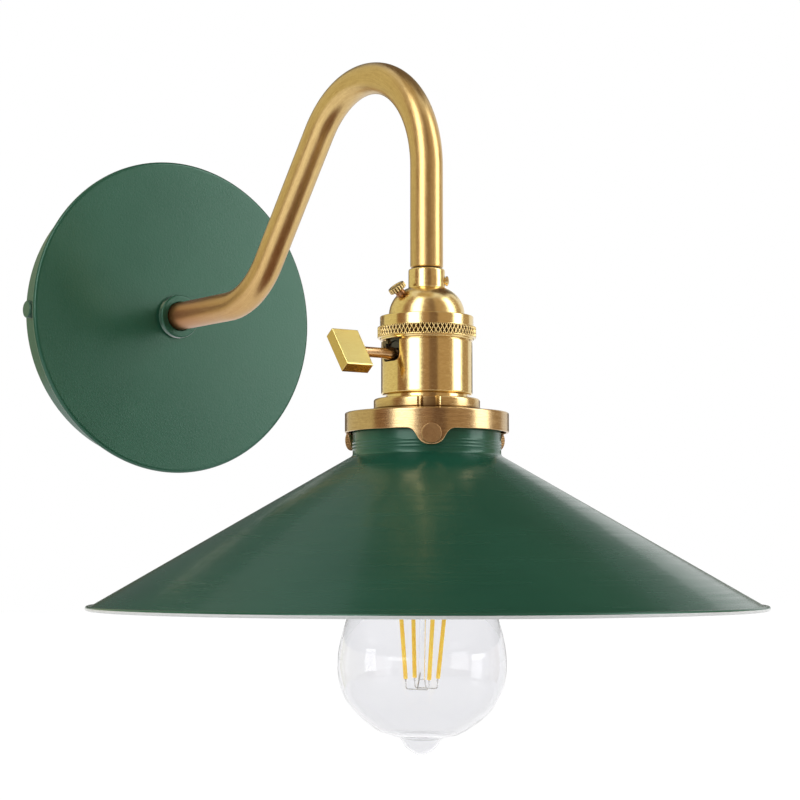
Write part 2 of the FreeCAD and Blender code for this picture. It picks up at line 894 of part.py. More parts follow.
def pillar_screws():
    start = lead_diameter / 2 + fit
    screws = []
    for side in (-1, 1):
        screw = cylinder(pillar_screw_diameter / 2, start, start + pillar_screw_length)
        slot_place = Vector(0, 0, start + pillar_screw_length)
        screw = screw.cut(block(2 * pillar_screw_diameter, slot_width, 2 * slot_depth, slot_place))
        screws.append(placed(screw, pillar_place(side) + UP * (pillar_height / 2), OUT))
    return Part.makeCompound(screws)


def shell_sleeve():
    """Ceramic sleeve between the screw shell and the body, standing on the body's foot."""
    outer = sleeve_diameter / 2
    bottom = body_bottom + body_wall
    return on_socket(tube(outer, outer - sleeve_wall, bottom, insulator_bottom - fit))


def screw_shell():
    bore = shell_bore / 2
    return on_socket(tube(bore + shell_wall, bore, shell_top - shell_length, shell_top))


def centre_contact():
    height = insulator_bottom - contact_thickness / 2 - fit
    strip = block(contact_width, contact_length, contact_thickness, Vector(0, 0, height))
    for side in (-1, 1):
        hole = cylinder(rivet_diameter / 2 + fit, height - overrun, height + overrun)
        strip = strip.cut(placed(hole, Vector(0, side * rivet_place, 0)))
    return on_socket(strip)


def contact_rivets():
    head_height = contact_thickness / 2
    bottom = insulator_bottom - contact_thickness - fit
    rivets = []
    for side in (-1, 1):
        rivet = cylinder(rivet_diameter / 2, bottom, insulator_bottom + rivet_length - fit)
        head = cylinder(rivet_diameter * 3 / 4, bottom - head_height, bottom)
        rivets.append(placed(rivet.fuse(head), socket_place() + OUT * (side * rivet_place)))
    return Part.makeCompound(rivets)


def switch_blade():
    """Spring strip standing in the insulator's pocket, just under the rotor."""
    base_height = insulator_bottom + blade_thickness / 2
    base = block(blade_length, blade_width, blade_thickness, Vector(-blade_place, 0, base_height))
    height = key_height - rotor_diameter / 2 - slip - insulator_bottom
    rise = Vector((blade_length - blade_thickness) / 2 - blade_place, 0, insulator_bottom + height / 2)
    upright = block(blade_thickness, blade_width, height, rise)
    return on_socket(base.fuse(upright).removeSplitter())


def key_spindle():
    stem = key_stem_diameter / 2
    start = rotor_inner_end + slip
    collar_start = body_diameter / 2 - key_stem_collar_length
    end = key_paddle_start + key_paddle_socket
    spindle = turned([
        (0, start),
        (stem, start),
        (stem, collar_start),
        (key_stem_collar_diameter / 2, collar_start),
        (key_stem_collar_diameter / 2, collar_start + key_stem_collar_length, stem / 4),
        (stem, collar_start + key_stem_collar_length),
        (stem, end),
        (0, end),
    ])
    return placed(spindle, socket_place(key_height), LEFT)


def key_paddle():
    """Flat block across the end of the stem, tilted about the stem's axis."""
    middle = Vector(0, 0, key_paddle_start + key_paddle_width / 2)
    paddle = block(key_paddle_length, key_paddle_thickness, key_paddle_width, middle)
    bore_end = key_paddle_start + key_paddle_socket + fit
    bore = cylinder(key_stem_diameter / 2 + fit, key_paddle_start - overrun, bore_end)
    paddle = placed(paddle.cut(bore), Vector(0, 0, 0), LEFT)
    paddle.rotate(Vector(0, 0, 0), LEFT, key_angle)
    paddle.translate(socket_place(key_height))
    return paddle


def switch_rotor():
    """Round cam on the key's stem, with a flat that lets the blade spring clear."""
    end = rotor_inner_end + rotor_length
    rotor = tube(rotor_diameter / 2, key_stem_diameter / 2 + fit, rotor_inner_end, end)
    flat_depth = rotor_diameter / 8
    flat_centre = Vector(0, rotor_diameter / 2, rotor_inner_end + rotor_length / 2)
    flat = block(rotor_diameter, 2 * flat_depth, rotor_length / 2, flat_centre)
    return placed(rotor.cut(flat), socket_place(key_height), LEFT)


def lug_bearings():
    return [lug_bearing + 360 * step / lug_count for step in range(lug_count)]


def lobed_collar():
    """Collar on the body's spigot, whose rim is cut into three lobes by notches in line with the lugs."""
    bore = spigot_diameter / 2 + fit
    collar = turned([
        (bore, collar_bottom),
        (collar_diameter / 2, collar_bottom, collar_round / 2),
        (collar_diameter / 2, collar_top, collar_round),
        (bore, collar_top, collar_round / 2),
    ])
    for angle in lug_bearings():
        inner = bore + collar_hub_wall
        outer = collar_diameter / 2 + overrun
        middle = Vector(0, 0, (inner + outer) / 2)
        notch = block(collar_height + 2 * overrun, collar_notch, outer - inner, middle)
        collar = collar.cut(placed(notch, UP * ((collar_top + collar_bottom) / 2), bearing(angle)))
    return on_socket(collar)


def shade_holder():
    """Shallow cup over the shade's neck, with three lugs that carry the shade's screws."""
    bore = spigot_diameter / 2 + fit
    outer = holder_diameter / 2
    inner = outer - holder_wall
    flat = holder_flat_diameter / 2
    cup = turned([
        (bore, crown_top),
        (flat, crown_top),
        (outer, holder_top, holder_round),
        (outer, holder_bottom),
        (inner, holder_bottom),
        (inner, holder_top - holder_wall),
        (flat, crown_inside),
        (bore, crown_inside),
    ])
    band = tube(outer, inner, holder_bottom - lug_drop, holder_bottom + overrun)
    for angle in lug_bearings():
        shape = outline([
            (-lug_top_width, holder_bottom + overrun),
            (-lug_top_width, holder_bottom),
            (-lug_top_width / 2, holder_bottom, lug_fillet),
            (-lug_bottom_width / 2, holder_bottom - lug_drop, lug_end_round),
            (lug_bottom_width / 2, holder_bottom - lug_drop, lug_end_round),
            (lug_top_width / 2, holder_bottom, lug_fillet),
            (lug_top_width, holder_bottom),
            (lug_top_width, holder_bottom + overrun),
        ])
        prism = shape.extrude(OUT * (outer + overrun))
        lug = band.common(prism)
        lug.rotate(Vector(0, 0, 0), DOWN, angle)
        cup = cup.fuse(lug)
        hole = cylinder(shade_screw_diameter / 2 + fit, inner - overrun, outer + overrun)
        cup = cup.cut(placed(hole, UP * shade_screw_height, bearing(angle)))
    return on_socket(cup.removeSplitter())


def holder_ring_nut():
    bore = spigot_diameter / 2 + fit
    top = crown_inside - fit
    return on_socket(tube(ring_nut_diameter / 2, bore, top - ring_nut_height, top))


def shade_screw(angle):
    seat = holder_diameter / 2 + shade_head_gap
    tip = shade_neck_diameter / 2 + slip
    screw = capstan_screw(
        shade_head_diameter / 2,
        shade_head_height,
        shade_head_round,
        shade_screw_diameter / 2,
        seat - tip,
    )
    direction = bearing(angle)
    return placed(screw, socket_place(shade_screw_height) + direction * seat, direction)


def lamp_shade():
    neck = shade_neck_diameter / 2
    rim = shade_diameter / 2 - rim_bead
    slope = math.tan(math.radians(shade_slope))
    down = shade_sheet / math.cos(math.radians(shade_slope))
    rim_height = shade_shoulder - slope * (rim - neck)
    inner_shoulder = shade_shoulder + slope * shade_sheet - down
    shell = turned([
        (neck - shade_sheet, shade_neck_top),
        (neck, shade_neck_top),
        (neck, shade_shoulder, shade_fillet),
        (rim, rim_height),
        (rim, rim_height - down),
        (neck - shade_sheet, inner_shoulder, shade_fillet + shade_sheet),
    ])
    bead = Part.makeTorus(neck, shade_bead, Vector(0, 0, shade_neck_top - shade_bead_drop))
    rolled = Part.makeTorus(rim, rim_bead, Vector(0, 0, rim_height - rim_bead_drop))
    return on_socket(shell.fuse(bead).fuse(rolled))


def on_lamp(shape):
    """Lamp piece made about Z, leaned about the lamp's contact as it hangs in its thread."""
    away = bearing(lamp_lean_bearing)
    piece = shape.copy()
    piece.rotate(Vector(0, 0, lamp_top), UP.cross(away), -lamp_lean)
    return on_socket(piece)


def glass_points(shares):
    widest = glass_diameter / 2
    return [Vector(across * widest, 0, glass_top - down * glass_length) for across, down in shares]


def bulb_envelope():
    """Blown glass: an even wall down the side and across the foot, and a solid drawn tip."""
    side = Part.BSplineCurve()
    tip = Vector(0, 0, glass_top - glass_length)
    side.interpolate(glass_points(glass_side_shares + glass_tip_shares) + [tip])
    inner_points = []
    for point in glass_points(glass_side_shares):
        forward = side.tangent(side.parameter(point))[0]
        inner_points.append(point + Vector(forward.z, 0, -forward.x) * glass_wall)
    inner_foot = Vector(0, 0, inner_points[-1].z - glass_wall)
    inner_points[0].z = glass_top
    inner = Part.BSplineCurve()
    inner.interpolate(inner_points + [inner_foot])
    edges = [
        side.toShape(),
        Part.makeLine(tip, inner_foot),
        inner.toShape(),
        Part.makeLine(inner_points[0], glass_points(glass_side_shares)[0]),
    ]
    face = Part.Face(Part.Wire(Part.__sortEdges__(edges)))
    return on_lamp(face.revolve(Vector(0, 0, 0), UP, 360))


def bulb_cap():
    outer = lamp_cap_diameter / 2
    crown = lamp_crown_diameter / 2
    shoulder = lamp_cap_top - lamp_crown_height
    return on_lamp(turned([
        (crown - lamp_cap_wall, lamp_cap_top),
        (crown, lamp_cap_top),
        (outer, shoulder),
        (outer, lamp_cap_bottom),
        (outer - lamp_cap_wall, lamp_cap_bottom),
        (outer - lamp_cap_wall, shoulder - lamp_cap_wall),
        (crown - lamp_cap_wall, lamp_cap_top - lamp_cap_wall),
    ]))


def bulb_cap_insulator():
    top = lamp_top - lamp_button_height
    button = lamp_button_diameter / 2
    crown = lamp_crown_diameter / 2 - lamp_cap_wall - fit
    return on_lamp(turned([
        (0, lamp_cap_top - lamp_cap_wall),
        (crown, lamp_cap_top - lamp_cap_wall),
        (crown, lamp_cap_top),
        (button, top),
        (0, top),
    ]))


def bulb_contact():
    radius = lamp_button_diameter / 2
    rise = lamp_button_height / 2
    across, below = dome_middle(radius, rise)
    return on_lamp(turned([
        (0, lamp_top - lamp_button_height),
        (radius, lamp_top - lamp_button_height),
        (radius, lamp_top - rise),
        (across, lamp_top - below, 0, lamp_top),
    ]))


def bulb_stem():
    """Glass mount: a flare sealed into the neck, the press that holds the wires, and a thin rod below."""
    flare = glass_side_shares[0][0] * glass_diameter / 2 - glass_wall - fit
    press = stem_press_diameter / 2
    rod = stem_rod_diameter / 2
    press_foot = glass_top - stem_press_length
    press_top = glass_top - stem_flare_length
    return on_lamp(turned([
        (0, press_foot - stem_rod_length),
        (rod, press_foot - stem_rod_length, rod / 2),
        (rod, press_foot),
        (press, press_foot + press, press / 4),
        (press, press_top),
        (press + (flare - press) / 4, press_top + stem_flare_length / 2, flare, glass_top - fit),
        (0, glass_top - fit),
    ]))


def rod_ends(step):
    """Upper and lower end of one light-emitting rod, about the lamp's axis."""
    direction = bearing(rod_bearing + 360 * step / rod_count)
    rise = math.sqrt(rod_length ** 2 - (rod_top_radius - rod_bottom_radius) ** 2)
    upper = UP * (glass_top - rod_top_drop) + direction * rod_top_radius
    lower = UP * (glass_top - rod_top_drop - rise) + direction * rod_bottom_radius
    return upper, lower


def led_filaments():
    rods = []
    for step in range(rod_count):
        upper, lower = rod_ends(step)
        rods.append(on_lamp(straight_bar(upper, lower, rod_diameter / 2)))
    return Part.makeCompound(rods)


def filament_wires():
    """Wires from the press to each rod's top, and bent wires that join the rods' feet in pairs."""
    wires = []
    half_wire = wire_diameter / 2
    press_foot = glass_top - stem_press_length
    for step in range(rod_count):
        upper = rod_ends(step)[0]
        direction = (upper - UP * upper.z).normalize()
        root = UP * press_foot + direction * (stem_press_diameter / 4 + fit)
        wires.append(on_lamp(straight_bar(root, upper + UP * fit, half_wire)))
    rod_foot = UP * (press_foot - stem_rod_length + stem_rod_diameter)
    for step in range(0, rod_count, 2):
        start = rod_ends(step)[1] + DOWN * fit
        end = rod_ends(step + 1)[1] + DOWN * fit
        low = DOWN * rod_joint_drop
        joint = round_bar([start, start + low, end + low, end], [wire_bend, wire_bend], half_wire)
        middle = (start + end) / 2 + low
        outward = (middle - UP * middle.z).normalize()
        anchor = straight_bar(rod_foot + outward * (stem_rod_diameter / 2 + half_wire), middle, half_wire)
        wires.append(on_lamp(joint.fuse(anchor)))
    return Part.makeCompound(wires)


def bulb_driver():
    top = lamp_cap_top - lamp_crown_height
    centre = Vector(0, 0, (top + glass_top) / 2 + fit)
    board_length = min(driver_length, top - glass_top)
    return on_lamp(block(driver_width, driver_thickness, board_length, centre))


def nodes():
    """Every separate piece by its name."""
    pieces = {
        "wall_plate": wall_plate(),
        "plate_collar": plate_collar(),
        "crossbar": crossbar(),
        "side_screws": side_screws(),
        "ground_screw": ground_screw(),
        "ground_terminals": ground_terminals(),
        "ground_lead": ground_lead(),
        "arm_nipple": arm_nipple(),
        "nipple_lock_washer": nipple_lock_washer(),
        "nipple_lock_nut": nipple_lock_nut(),
        "nipple_bushing": nipple_bushing(),
        "terminal_block": terminal_block(),
        "terminal_block_screws": terminal_block_screws(),
        "live_lead": lead(-1),
        "neutral_lead": lead(1),
        "gooseneck_arm": gooseneck_arm(),
        "arm_end_nipple": arm_end_nipple(),
        "socket_cap": socket_cap(),
        "cap_set_screw": cap_set_screw(),
        "cap_thumb_screw": cap_thumb_screw(),
        "socket_ring": socket_ring(),
        "socket_body": socket_body(),
        "insulating_liner": insulating_liner(),
        "socket_insulator": socket_insulator(),
        "pillar_terminals": pillar_terminals(),
        "pillar_screws": pillar_screws(),
        "shell_sleeve": shell_sleeve(),
        "screw_shell": screw_shell(),
        "centre_contact": centre_contact(),
        "contact_rivets": contact_rivets(),
        "switch_blade": switch_blade(),
        "switch_rotor": switch_rotor(),
        "key_spindle": key_spindle(),
        "key_paddle": key_paddle(),
        "lobed_collar": lobed_collar(),
        "shade_holder": shade_holder(),
        "holder_ring_nut": holder_ring_nut(),
        "lamp_shade": lamp_shade(),
        "bulb_envelope": bulb_envelope(),
        "bulb_cap": bulb_cap(),
        "bulb_cap_insulator": bulb_cap_insulator(),
        "bulb_contact": bulb_contact(),
        "bulb_stem": bulb_stem(),
        "led_filaments": led_filaments(),
        "filament_wires": filament_wires(),
        "bulb_driver": bulb_driver(),
    }
    for number, angle in enumerate(lug_bearings(), 1):
        pieces[f"shade_screw_{number}"] = shade_screw(angle)
    return pieces


os.makedirs("parts", exist_ok=True)
for name, shape in nodes().items():
    shape.exportStep(f"parts/{name}.step")
    print(name, "solids", len(shape.Solids), "valid", shape.isValid(), "volume", round(shape.Volume, 1))
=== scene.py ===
import math

import bmesh
import bpy
import numpy as np
from mathutils import Matrix, Vector


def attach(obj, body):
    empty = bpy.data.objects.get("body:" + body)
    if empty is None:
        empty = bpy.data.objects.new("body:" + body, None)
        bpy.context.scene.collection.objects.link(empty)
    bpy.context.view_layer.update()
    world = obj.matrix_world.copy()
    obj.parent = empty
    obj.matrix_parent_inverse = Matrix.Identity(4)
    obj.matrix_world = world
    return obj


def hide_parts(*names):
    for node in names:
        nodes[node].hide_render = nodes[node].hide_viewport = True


# A gooseneck wall light: a painted plate, a bent brass arm, a turn-key lampholder, a cone shade and a
# clear filament lamp. Metres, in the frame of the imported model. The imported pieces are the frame; the
# ones that show are dressed or replaced below, in the order in which the light is put together.
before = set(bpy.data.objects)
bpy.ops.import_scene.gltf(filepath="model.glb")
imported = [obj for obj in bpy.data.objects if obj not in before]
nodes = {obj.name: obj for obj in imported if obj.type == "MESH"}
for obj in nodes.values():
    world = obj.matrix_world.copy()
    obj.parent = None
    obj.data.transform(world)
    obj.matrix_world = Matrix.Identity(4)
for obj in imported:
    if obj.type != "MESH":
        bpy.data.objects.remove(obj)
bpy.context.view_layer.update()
MM = 0.001

# Wall plate
# A dish pressed from 1.4 mm steel. Its edge is folded back on itself into a round 3 mm hem, and it is
# sprayed inside and out with a satin green paint that dries with a very fine orange peel.


def rounded(corners, closed=True, edge=0.1):
    """Profile through corners (across, along, radius) in millimetres.

    Each corner becomes the circle of its radius that touches both of its sides: the centre lies on the
    bisector, radius / sin(half the angle) from the corner. A corner with no radius is broken by the edge
    radius, and one that hardly turns is kept. A point a little way along each side keeps the sides flat.
    """
    ends = np.array([corner[:2] for corner in corners], float)
    parts = []
    for index, corner in enumerate(corners):
        here = ends[index]
        back = ends[index - 1] - here
        ahead = ends[(index + 1) % len(ends)] - here
        back_length, ahead_length = np.hypot(*back), np.hypot(*ahead)
        back, ahead = back / back_length, ahead / ahead_length
        half = 0.5 * math.acos(np.clip(back @ ahead, -1, 1))
        if half > math.radians(80) or not closed and index in (0, len(corners) - 1):
            parts.append(here[None])
            continue
        radius = corner[2] if len(corner) > 2 else edge
        reach = min(radius / math.tan(half), 0.499 * back_length, 0.499 * ahead_length)
        radius = reach * math.tan(half)
        inward = (back + ahead) / np.hypot(*(back + ahead))
        centre = here + inward * radius / math.sin(half)
        first, last = here + back * reach - centre, here + ahead * reach - centre
        sweep = math.pi - 2 * half
        t = np.linspace(0, 1, max(3, int(4 + 9 * sweep * min(1, radius))))[:, None]
        arc = centre + (np.sin((1 - t) * sweep) * first + np.sin(t * sweep) * last) / math.sin(sweep)
        stay = reach + 0.15 * radius + 0.03
        if stay < 0.4 * back_length:
            parts.append((here + back * stay)[None])
        parts.append(arc)
        if stay < 0.4 * ahead_length:
            parts.append((here + ahead * stay)[None])
    return np.concatenate(parts) * MM


def around(columns):
    """Even angles over a full turn, one for each column of a skin."""
    return np.linspace(0, 2 * np.pi, columns, endpoint=False)[:, None]


def lathe(profile, columns):
    """Surface of revolution about Z: at angle a, (r, z) goes to (r cos a, r sin a, z)."""
    a = around(columns)
    across, along = profile[None, :, 0], profile[None, :, 1]
    return np.stack([across * np.cos(a), across * np.sin(a), along + 0 * a], -1)


def out_of_wall(points, distance=0.0):
    """A quarter turn about X takes +Z to -Y, then the points move out of the wall by the distance."""
    return np.stack([points[..., 0], -points[..., 2] - distance, points[..., 1]], -1)


def skin_faces(rows, columns, loop):
    """Quads of a grid that closes on itself row to row, and column to column where it is a loop."""
    here = np.arange(rows)[:, None] * columns
    below = (here + columns) % (rows * columns)
    left = np.arange(columns if loop else columns - 1)[None]
    right = (left + 1) % columns
    return np.stack([here + left, below + left, below + right, here + right], -1).reshape(-1, 4)


def mesh_from(name, points, faces, finishes=()):
    """Mesh of lists of points and faces, with its finishes."""
    mesh = bpy.data.meshes.new(name)
    mesh.from_pydata(points, [], faces)
    for each in finishes:
        mesh.materials.append(each)
    return mesh


def rework(mesh, work):
    """Opens a mesh for a bmesh operation and puts the result back."""
    loose = bmesh.new()
    loose.from_mesh(mesh)
    work(loose)
    loose.to_mesh(mesh)
    loose.free()


def join_points(loose):
    """Joins points that lie on each other, at a skin's seam and poles."""
    bmesh.ops.remove_doubles(loose, verts=loose.verts, dist=1e-7)


def put(name, data):
    """A new object in the scene."""
    placed = bpy.data.objects.new(name, data)
    bpy.context.scene.collection.objects.link(placed)
    return placed


def make(name, skins, body, finishes, replaced, sharp=35, shade_and_tone=None, brushed=None):
    """One piece from skins (grid of points, rows by columns; loop; and if need be its finish; hollow).

    The finish is a number, or one for each column. A skin's signed volume, the sum of a . (b x c) / 6 over
    its triangles, tells which way its faces look, and one that looks inwards is turned. A hollow one is
    to look into its hollow. The darkening, 0 to 1 for each point, is painted shade in a piece's hollows
    and a darker tone along the arm. It and the brushed place of each point, which runs on along a bent
    piece, are kept with the mesh for the finish to read.
    """
    points, faces, shades, start = [], [], [], 0
    for grid, loop, *given in skins:
        shade, hollow = given or (0, False)
        rows, columns = grid.shape[:2]
        flat = grid.reshape(-1, 3)
        quads = skin_faces(rows, columns, loop)
        a, b, c, d = (flat[quads[:, k]] for k in range(4))
        volume = np.einsum("ij,ij->", a, np.cross(b, c)) + np.einsum("ij,ij->", a, np.cross(c, d))
        if (volume < 0) != hollow:
            quads = quads[:, ::-1]
        points.append(flat)
        faces.append(quads + start)
        wide = columns if loop else columns - 1
        shades.append(np.broadcast_to(np.atleast_1d(shade)[None], (rows, wide)).reshape(-1))
        start += len(flat)
    mesh = mesh_from(name, np.concatenate(points).tolist(), np.concatenate(faces).tolist(), finishes)
    mesh.polygons.foreach_set("material_index", np.concatenate(shades).astype(np.int32))
    kept = ("shade_and_tone", "FLOAT", "value", shade_and_tone), ("brushed", "FLOAT_VECTOR", "vector", brushed)
    for label, kind, field, values in kept:
        if values is not None:
            layer = mesh.attributes.new(label, kind, "POINT")
            layer.data.foreach_set(field, np.ascontiguousarray(values, np.float32).reshape(-1))
    rework(mesh, join_points)
    return dress(name, mesh, body, replaced, sharp)


def dress(name, mesh, body, replaced, sharp=35):
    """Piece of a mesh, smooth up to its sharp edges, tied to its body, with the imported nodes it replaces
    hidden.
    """
    mesh.shade_smooth()
    mesh.set_sharp_from_angle(angle=math.radians(sharp))
    piece = put(name, mesh)
    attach(piece, body)
    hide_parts(*replaced)
    return piece


def preset(node, **sockets):
    """Sets a node's sockets by name, with _ for a space."""
    for socket, value in sockets.items():
        node.inputs[socket.replace("_", " ")].default_value = value


def finish(name, colour, metallic=0.0, roughness=0.5, **sockets):
    """A material on one Principled shader. Returns both, with the given sockets set."""
    made = bpy.data.materials.new(name)
    made.use_nodes = True
    shader = made.node_tree.nodes["Principled BSDF"]
    preset(shader, Base_Color=(*colour, 1), Metallic=metallic, Roughness=roughness, **sockets)
    made.diffuse_color = (*colour, 1)
    return made, shader


def grain(made, size, detail=3.0, stretch=(1, 1, 1), centre=(0, 0, 0), contrast=0.5, follow=None):
    """Noise on object coordinates: one lump is about size millimetres, longer along an axis by its stretch.

    With the name of a point attribute to follow, the noise is laid on that instead.
    """
    tree = made.node_tree
    where = tree.nodes.new("ShaderNodeAttribute" if follow else "ShaderNodeTexCoord")
    if follow:
        where.attribute_name = follow
    place = tree.nodes.new("ShaderNodeMapping")
    place.vector_type = "TEXTURE"
    preset(place, Location=centre, Scale=[MM * size * s for s in stretch])
    lumps = tree.nodes.new("ShaderNodeTexNoise")
    preset(lumps, Scale=1.0, Detail=detail, Roughness=contrast)
    tree.links.new(where.outputs["Vector" if follow else "Object"], place.inputs["Vector"])
    tree.links.new(place.outputs["Vector"], lumps.inputs["Vector"])
    return lumps.outputs["Fac"]


def mixed(made, factor, low, high, spread=(0.3, 0.7)):
    """Colour that goes from low to high as the factor crosses the spread."""
    tree = made.node_tree
    ramp = tree.nodes.new("ShaderNodeValToRGB")
    for end, position, colour in zip(ramp.color_ramp.elements, spread, (low, high)):
        end.position, end.color = position, (*colour, 1)
    tree.links.new(factor, ramp.inputs["Fac"])
    return ramp.outputs["Color"]


def span(made, factor, low, high):
    """Number that goes from low to high as the factor goes from 0.25 to 0.75."""
    tree = made.node_tree
    node = tree.nodes.new("ShaderNodeMapRange")
    preset(node, From_Min=0.25, From_Max=0.75, To_Min=low, To_Max=high)
    tree.links.new(factor, node.inputs["Value"])
    return node.outputs["Result"]


def raised(made, shader, *layers):
    """Bumps from layers of (height, depth in millimetres), one over the other, on the shader's normal."""
    tree = made.node_tree
    before = None
    for height, depth in layers:
        bump = tree.nodes.new("ShaderNodeBump")
        preset(bump, Strength=1.0, Distance=MM * depth)
        tree.links.new(height, bump.inputs["Height"])
        if before:
            tree.links.new(before, bump.inputs["Normal"])
        before = bump.outputs["Normal"]
    tree.links.new(before, shader.inputs["Normal"])
    return before


def wire(made, output, socket):
    """Links an output to a socket of the same material."""
    made.node_tree.links.new(output, socket)


def drift(made, shader, factor, low, high, rough=None):
    """Lets the base colour, and the roughness if its range is given, drift with the factor."""
    wire(made, mixed(made, factor, low, high), shader.inputs["Base Color"])
    if rough:
        wire(made, span(made, factor, *rough), shader.inputs["Roughness"])


plate_paint, shader = finish(
    "plate_paint", (0.018, 0.098, 0.056), roughness=0.24,
    Specular_IOR_Level=0.5, Specular_Tint=(0.75, 1.0, 0.88, 1),
)
cloud = grain(plate_paint, 40, 3)
peel = grain(plate_paint, 0.9, 2)
speck = grain(plate_paint, 0.35, 1)
drift(plate_paint, shader, cloud, (0.014, 0.088, 0.050), (0.018, 0.100, 0.058), (0.21, 0.26))
raised(plate_paint, shader, (peel, 0.03), (speck, 0.012))

plate_depth, face_radius, skirt_radius, hem = 20.0, 71.5, 66.0, 3.0
steel, arm_hole = 1.4, 5.3
dish = rounded([
    (arm_hole, plate_depth - steel),
    (skirt_radius - steel, plate_depth - steel, 1.2),
    (skirt_radius - steel, 0),
    (skirt_radius, 0),
    (skirt_radius, plate_depth - hem),
    (face_radius, plate_depth - hem, hem / 2),
    (face_radius, plate_depth, hem / 2),
    (arm_hole, plate_depth),
])
plate = make(
    "plate", [(out_of_wall(lathe(dish, 320)), True)],
    "fixture", [plate_paint], ["wall_plate"],
)
plate.visible_glossy = False

# Collar on the plate
# A turned steel ring round the arm where it leaves the plate, painted with the plate.
collar_bore, collar_radius, collar_rise = 6.55, 9.8, 3.0
step = rounded([
    (collar_bore, 0), (collar_radius, 0),
    (collar_radius, collar_rise, 0.8), (collar_bore, collar_rise, 0.4),
])
make(
    "arm_collar", [(out_of_wall(lathe(step, 128), plate_depth * MM), True)],
    "fixture", [plate_paint], ["plate_collar"],
)

# Crossbar, fasteners and wiring behind the plate
# A zinc-plated steel strap that is screwed to the wall, the nut that clamps the arm, a two-pole block,
# and the leads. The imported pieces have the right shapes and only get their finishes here.
zinc, shader = finish("zinc_plate", (0.6, 0.61, 0.63), metallic=1.0, roughness=0.34)
bloom = grain(zinc, 3.0, 5, contrast=0.65)
drift(zinc, shader, bloom, (0.48, 0.49, 0.50), (0.70, 0.71, 0.72), (0.26, 0.46))
raised(zinc, shader, (grain(zinc, 0.5, 3, stretch=(8, 1, 1)), 0.01))


def moulded(name, colour, roughness, pit=0.6, depth=0.02):
    """Moulded or extruded material: its colour drifts by a tenth, and its skin has fine pits."""
    made, shader = finish(name, colour, roughness=roughness)
    low, high = ([min(1, k * c) for c in colour] for k in (0.88, 1.08))
    drift(made, shader, grain(made, 9, 3), low, high, (roughness - 0.06, roughness + 0.06))
    raised(made, shader, (grain(made, pit, 2), depth))
    return made


nylon = moulded("white_nylon", (0.80, 0.80, 0.77), 0.42)
black_jacket = moulded("black_jacket", (0.018, 0.018, 0.018), 0.38)
white_jacket = moulded("white_jacket", (0.82, 0.82, 0.79), 0.4)
green_jacket = moulded("green_jacket", (0.04, 0.30, 0.10), 0.4)
phenolic = moulded("phenolic", (0.014, 0.012, 0.010), 0.16, 0.4, 0.006)
fibre = moulded("fibre_board", (0.09, 0.075, 0.06), 0.75, 0.8, 0.05)
porcelain = moulded("porcelain", (0.85, 0.84, 0.80), 0.18, 2.0, 0.02)
circuit = moulded("circuit_board", (0.03, 0.16, 0.07), 0.35)
green_metal, shader = finish("green_metal", (0.04, 0.24, 0.10), metallic=0.8, roughness=0.35)
drift(green_metal, shader, grain(green_metal, 1.5, 4), (0.03, 0.21, 0.08), (0.05, 0.26, 0.11), (0.25, 0.45))


def coat(made, *names):
    """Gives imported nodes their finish."""
    for name in names:
        nodes[name].data.materials.clear()
        nodes[name].data.materials.append(made)


coat(zinc, "crossbar", "arm_nipple", "nipple_lock_washer", "nipple_lock_nut", "ground_terminals")
coat(zinc, "terminal_block_screws", "pillar_screws")
coat(green_metal, "ground_screw")
coat(nylon, "terminal_block", "nipple_bushing")
coat(black_jacket, "live_lead")
coat(white_jacket, "neutral_lead")
coat(green_jacket, "ground_lead")

# Arm
# One length of 12.5 mm brass tube, bent without flats, brushed along its length and lacquered. It runs
# out of the wall, up a leaning leg, over a wide bend and down to the lampholder.


def reckon(tree, operation, *values):
    """Output of a math node on numbers and other outputs."""
    node = tree.nodes.new("ShaderNodeMath")
    node.operation = operation
    for socket, value in zip(node.inputs, values):
        if isinstance(value, (int, float)):
            socket.default_value = value
        else:
            tree.links.new(value, socket)
    return node.outputs[0]


def brushed_brass(
    name, size, stretch, centre=(0, 0, 0), low=(0.68, 0.50, 0.215), high=(0.84, 0.66, 0.315),
    rough=(0.11, 0.2), depth=0.01, follow=None, dark_brass=(0.055, 0.03, 0.012), dulling=0.35, metallic=1.0,
):
    """Lacquered brass with brush lines: noise drawn out along the brushing, with stains over it.

    Where a piece is darkened, by painted shade in its hollows and under its edges or by a darker tone along
    the arm, the metal goes towards the dark brass colour, and by the dulling rougher, with it.
    """
    made, shader = finish(name, high, metallic=metallic, roughness=rough[0])
    lines = grain(made, size, 3, stretch, centre, 0.6, follow)
    stain = grain(made, 1.6, 5, contrast=0.7)
    tree = made.node_tree
    both = reckon(tree, "MULTIPLY_ADD", lines, 0.6, reckon(tree, "MULTIPLY", stain, 0.4))
    darkened_by = tree.nodes.new("ShaderNodeAttribute")
    darkened_by.attribute_name = "shade_and_tone"
    darker = tree.nodes.new("ShaderNodeMix")
    darker.data_type = "RGBA"
    wire(made, darkened_by.outputs["Fac"], darker.inputs["Factor"])
    wire(made, mixed(made, both, low, high, (0.32, 0.66)), darker.inputs["A"])
    darker.inputs["B"].default_value = (*dark_brass, 1)
    wire(made, darker.outputs["Result"], shader.inputs["Base Color"])
    duller = reckon(tree, "MULTIPLY_ADD", darkened_by.outputs["Fac"], dulling, span(made, both, *rough))
    wire(made, duller, shader.inputs["Roughness"])
    raised(made, shader, (lines, depth), (stain, 0.01))
    return made


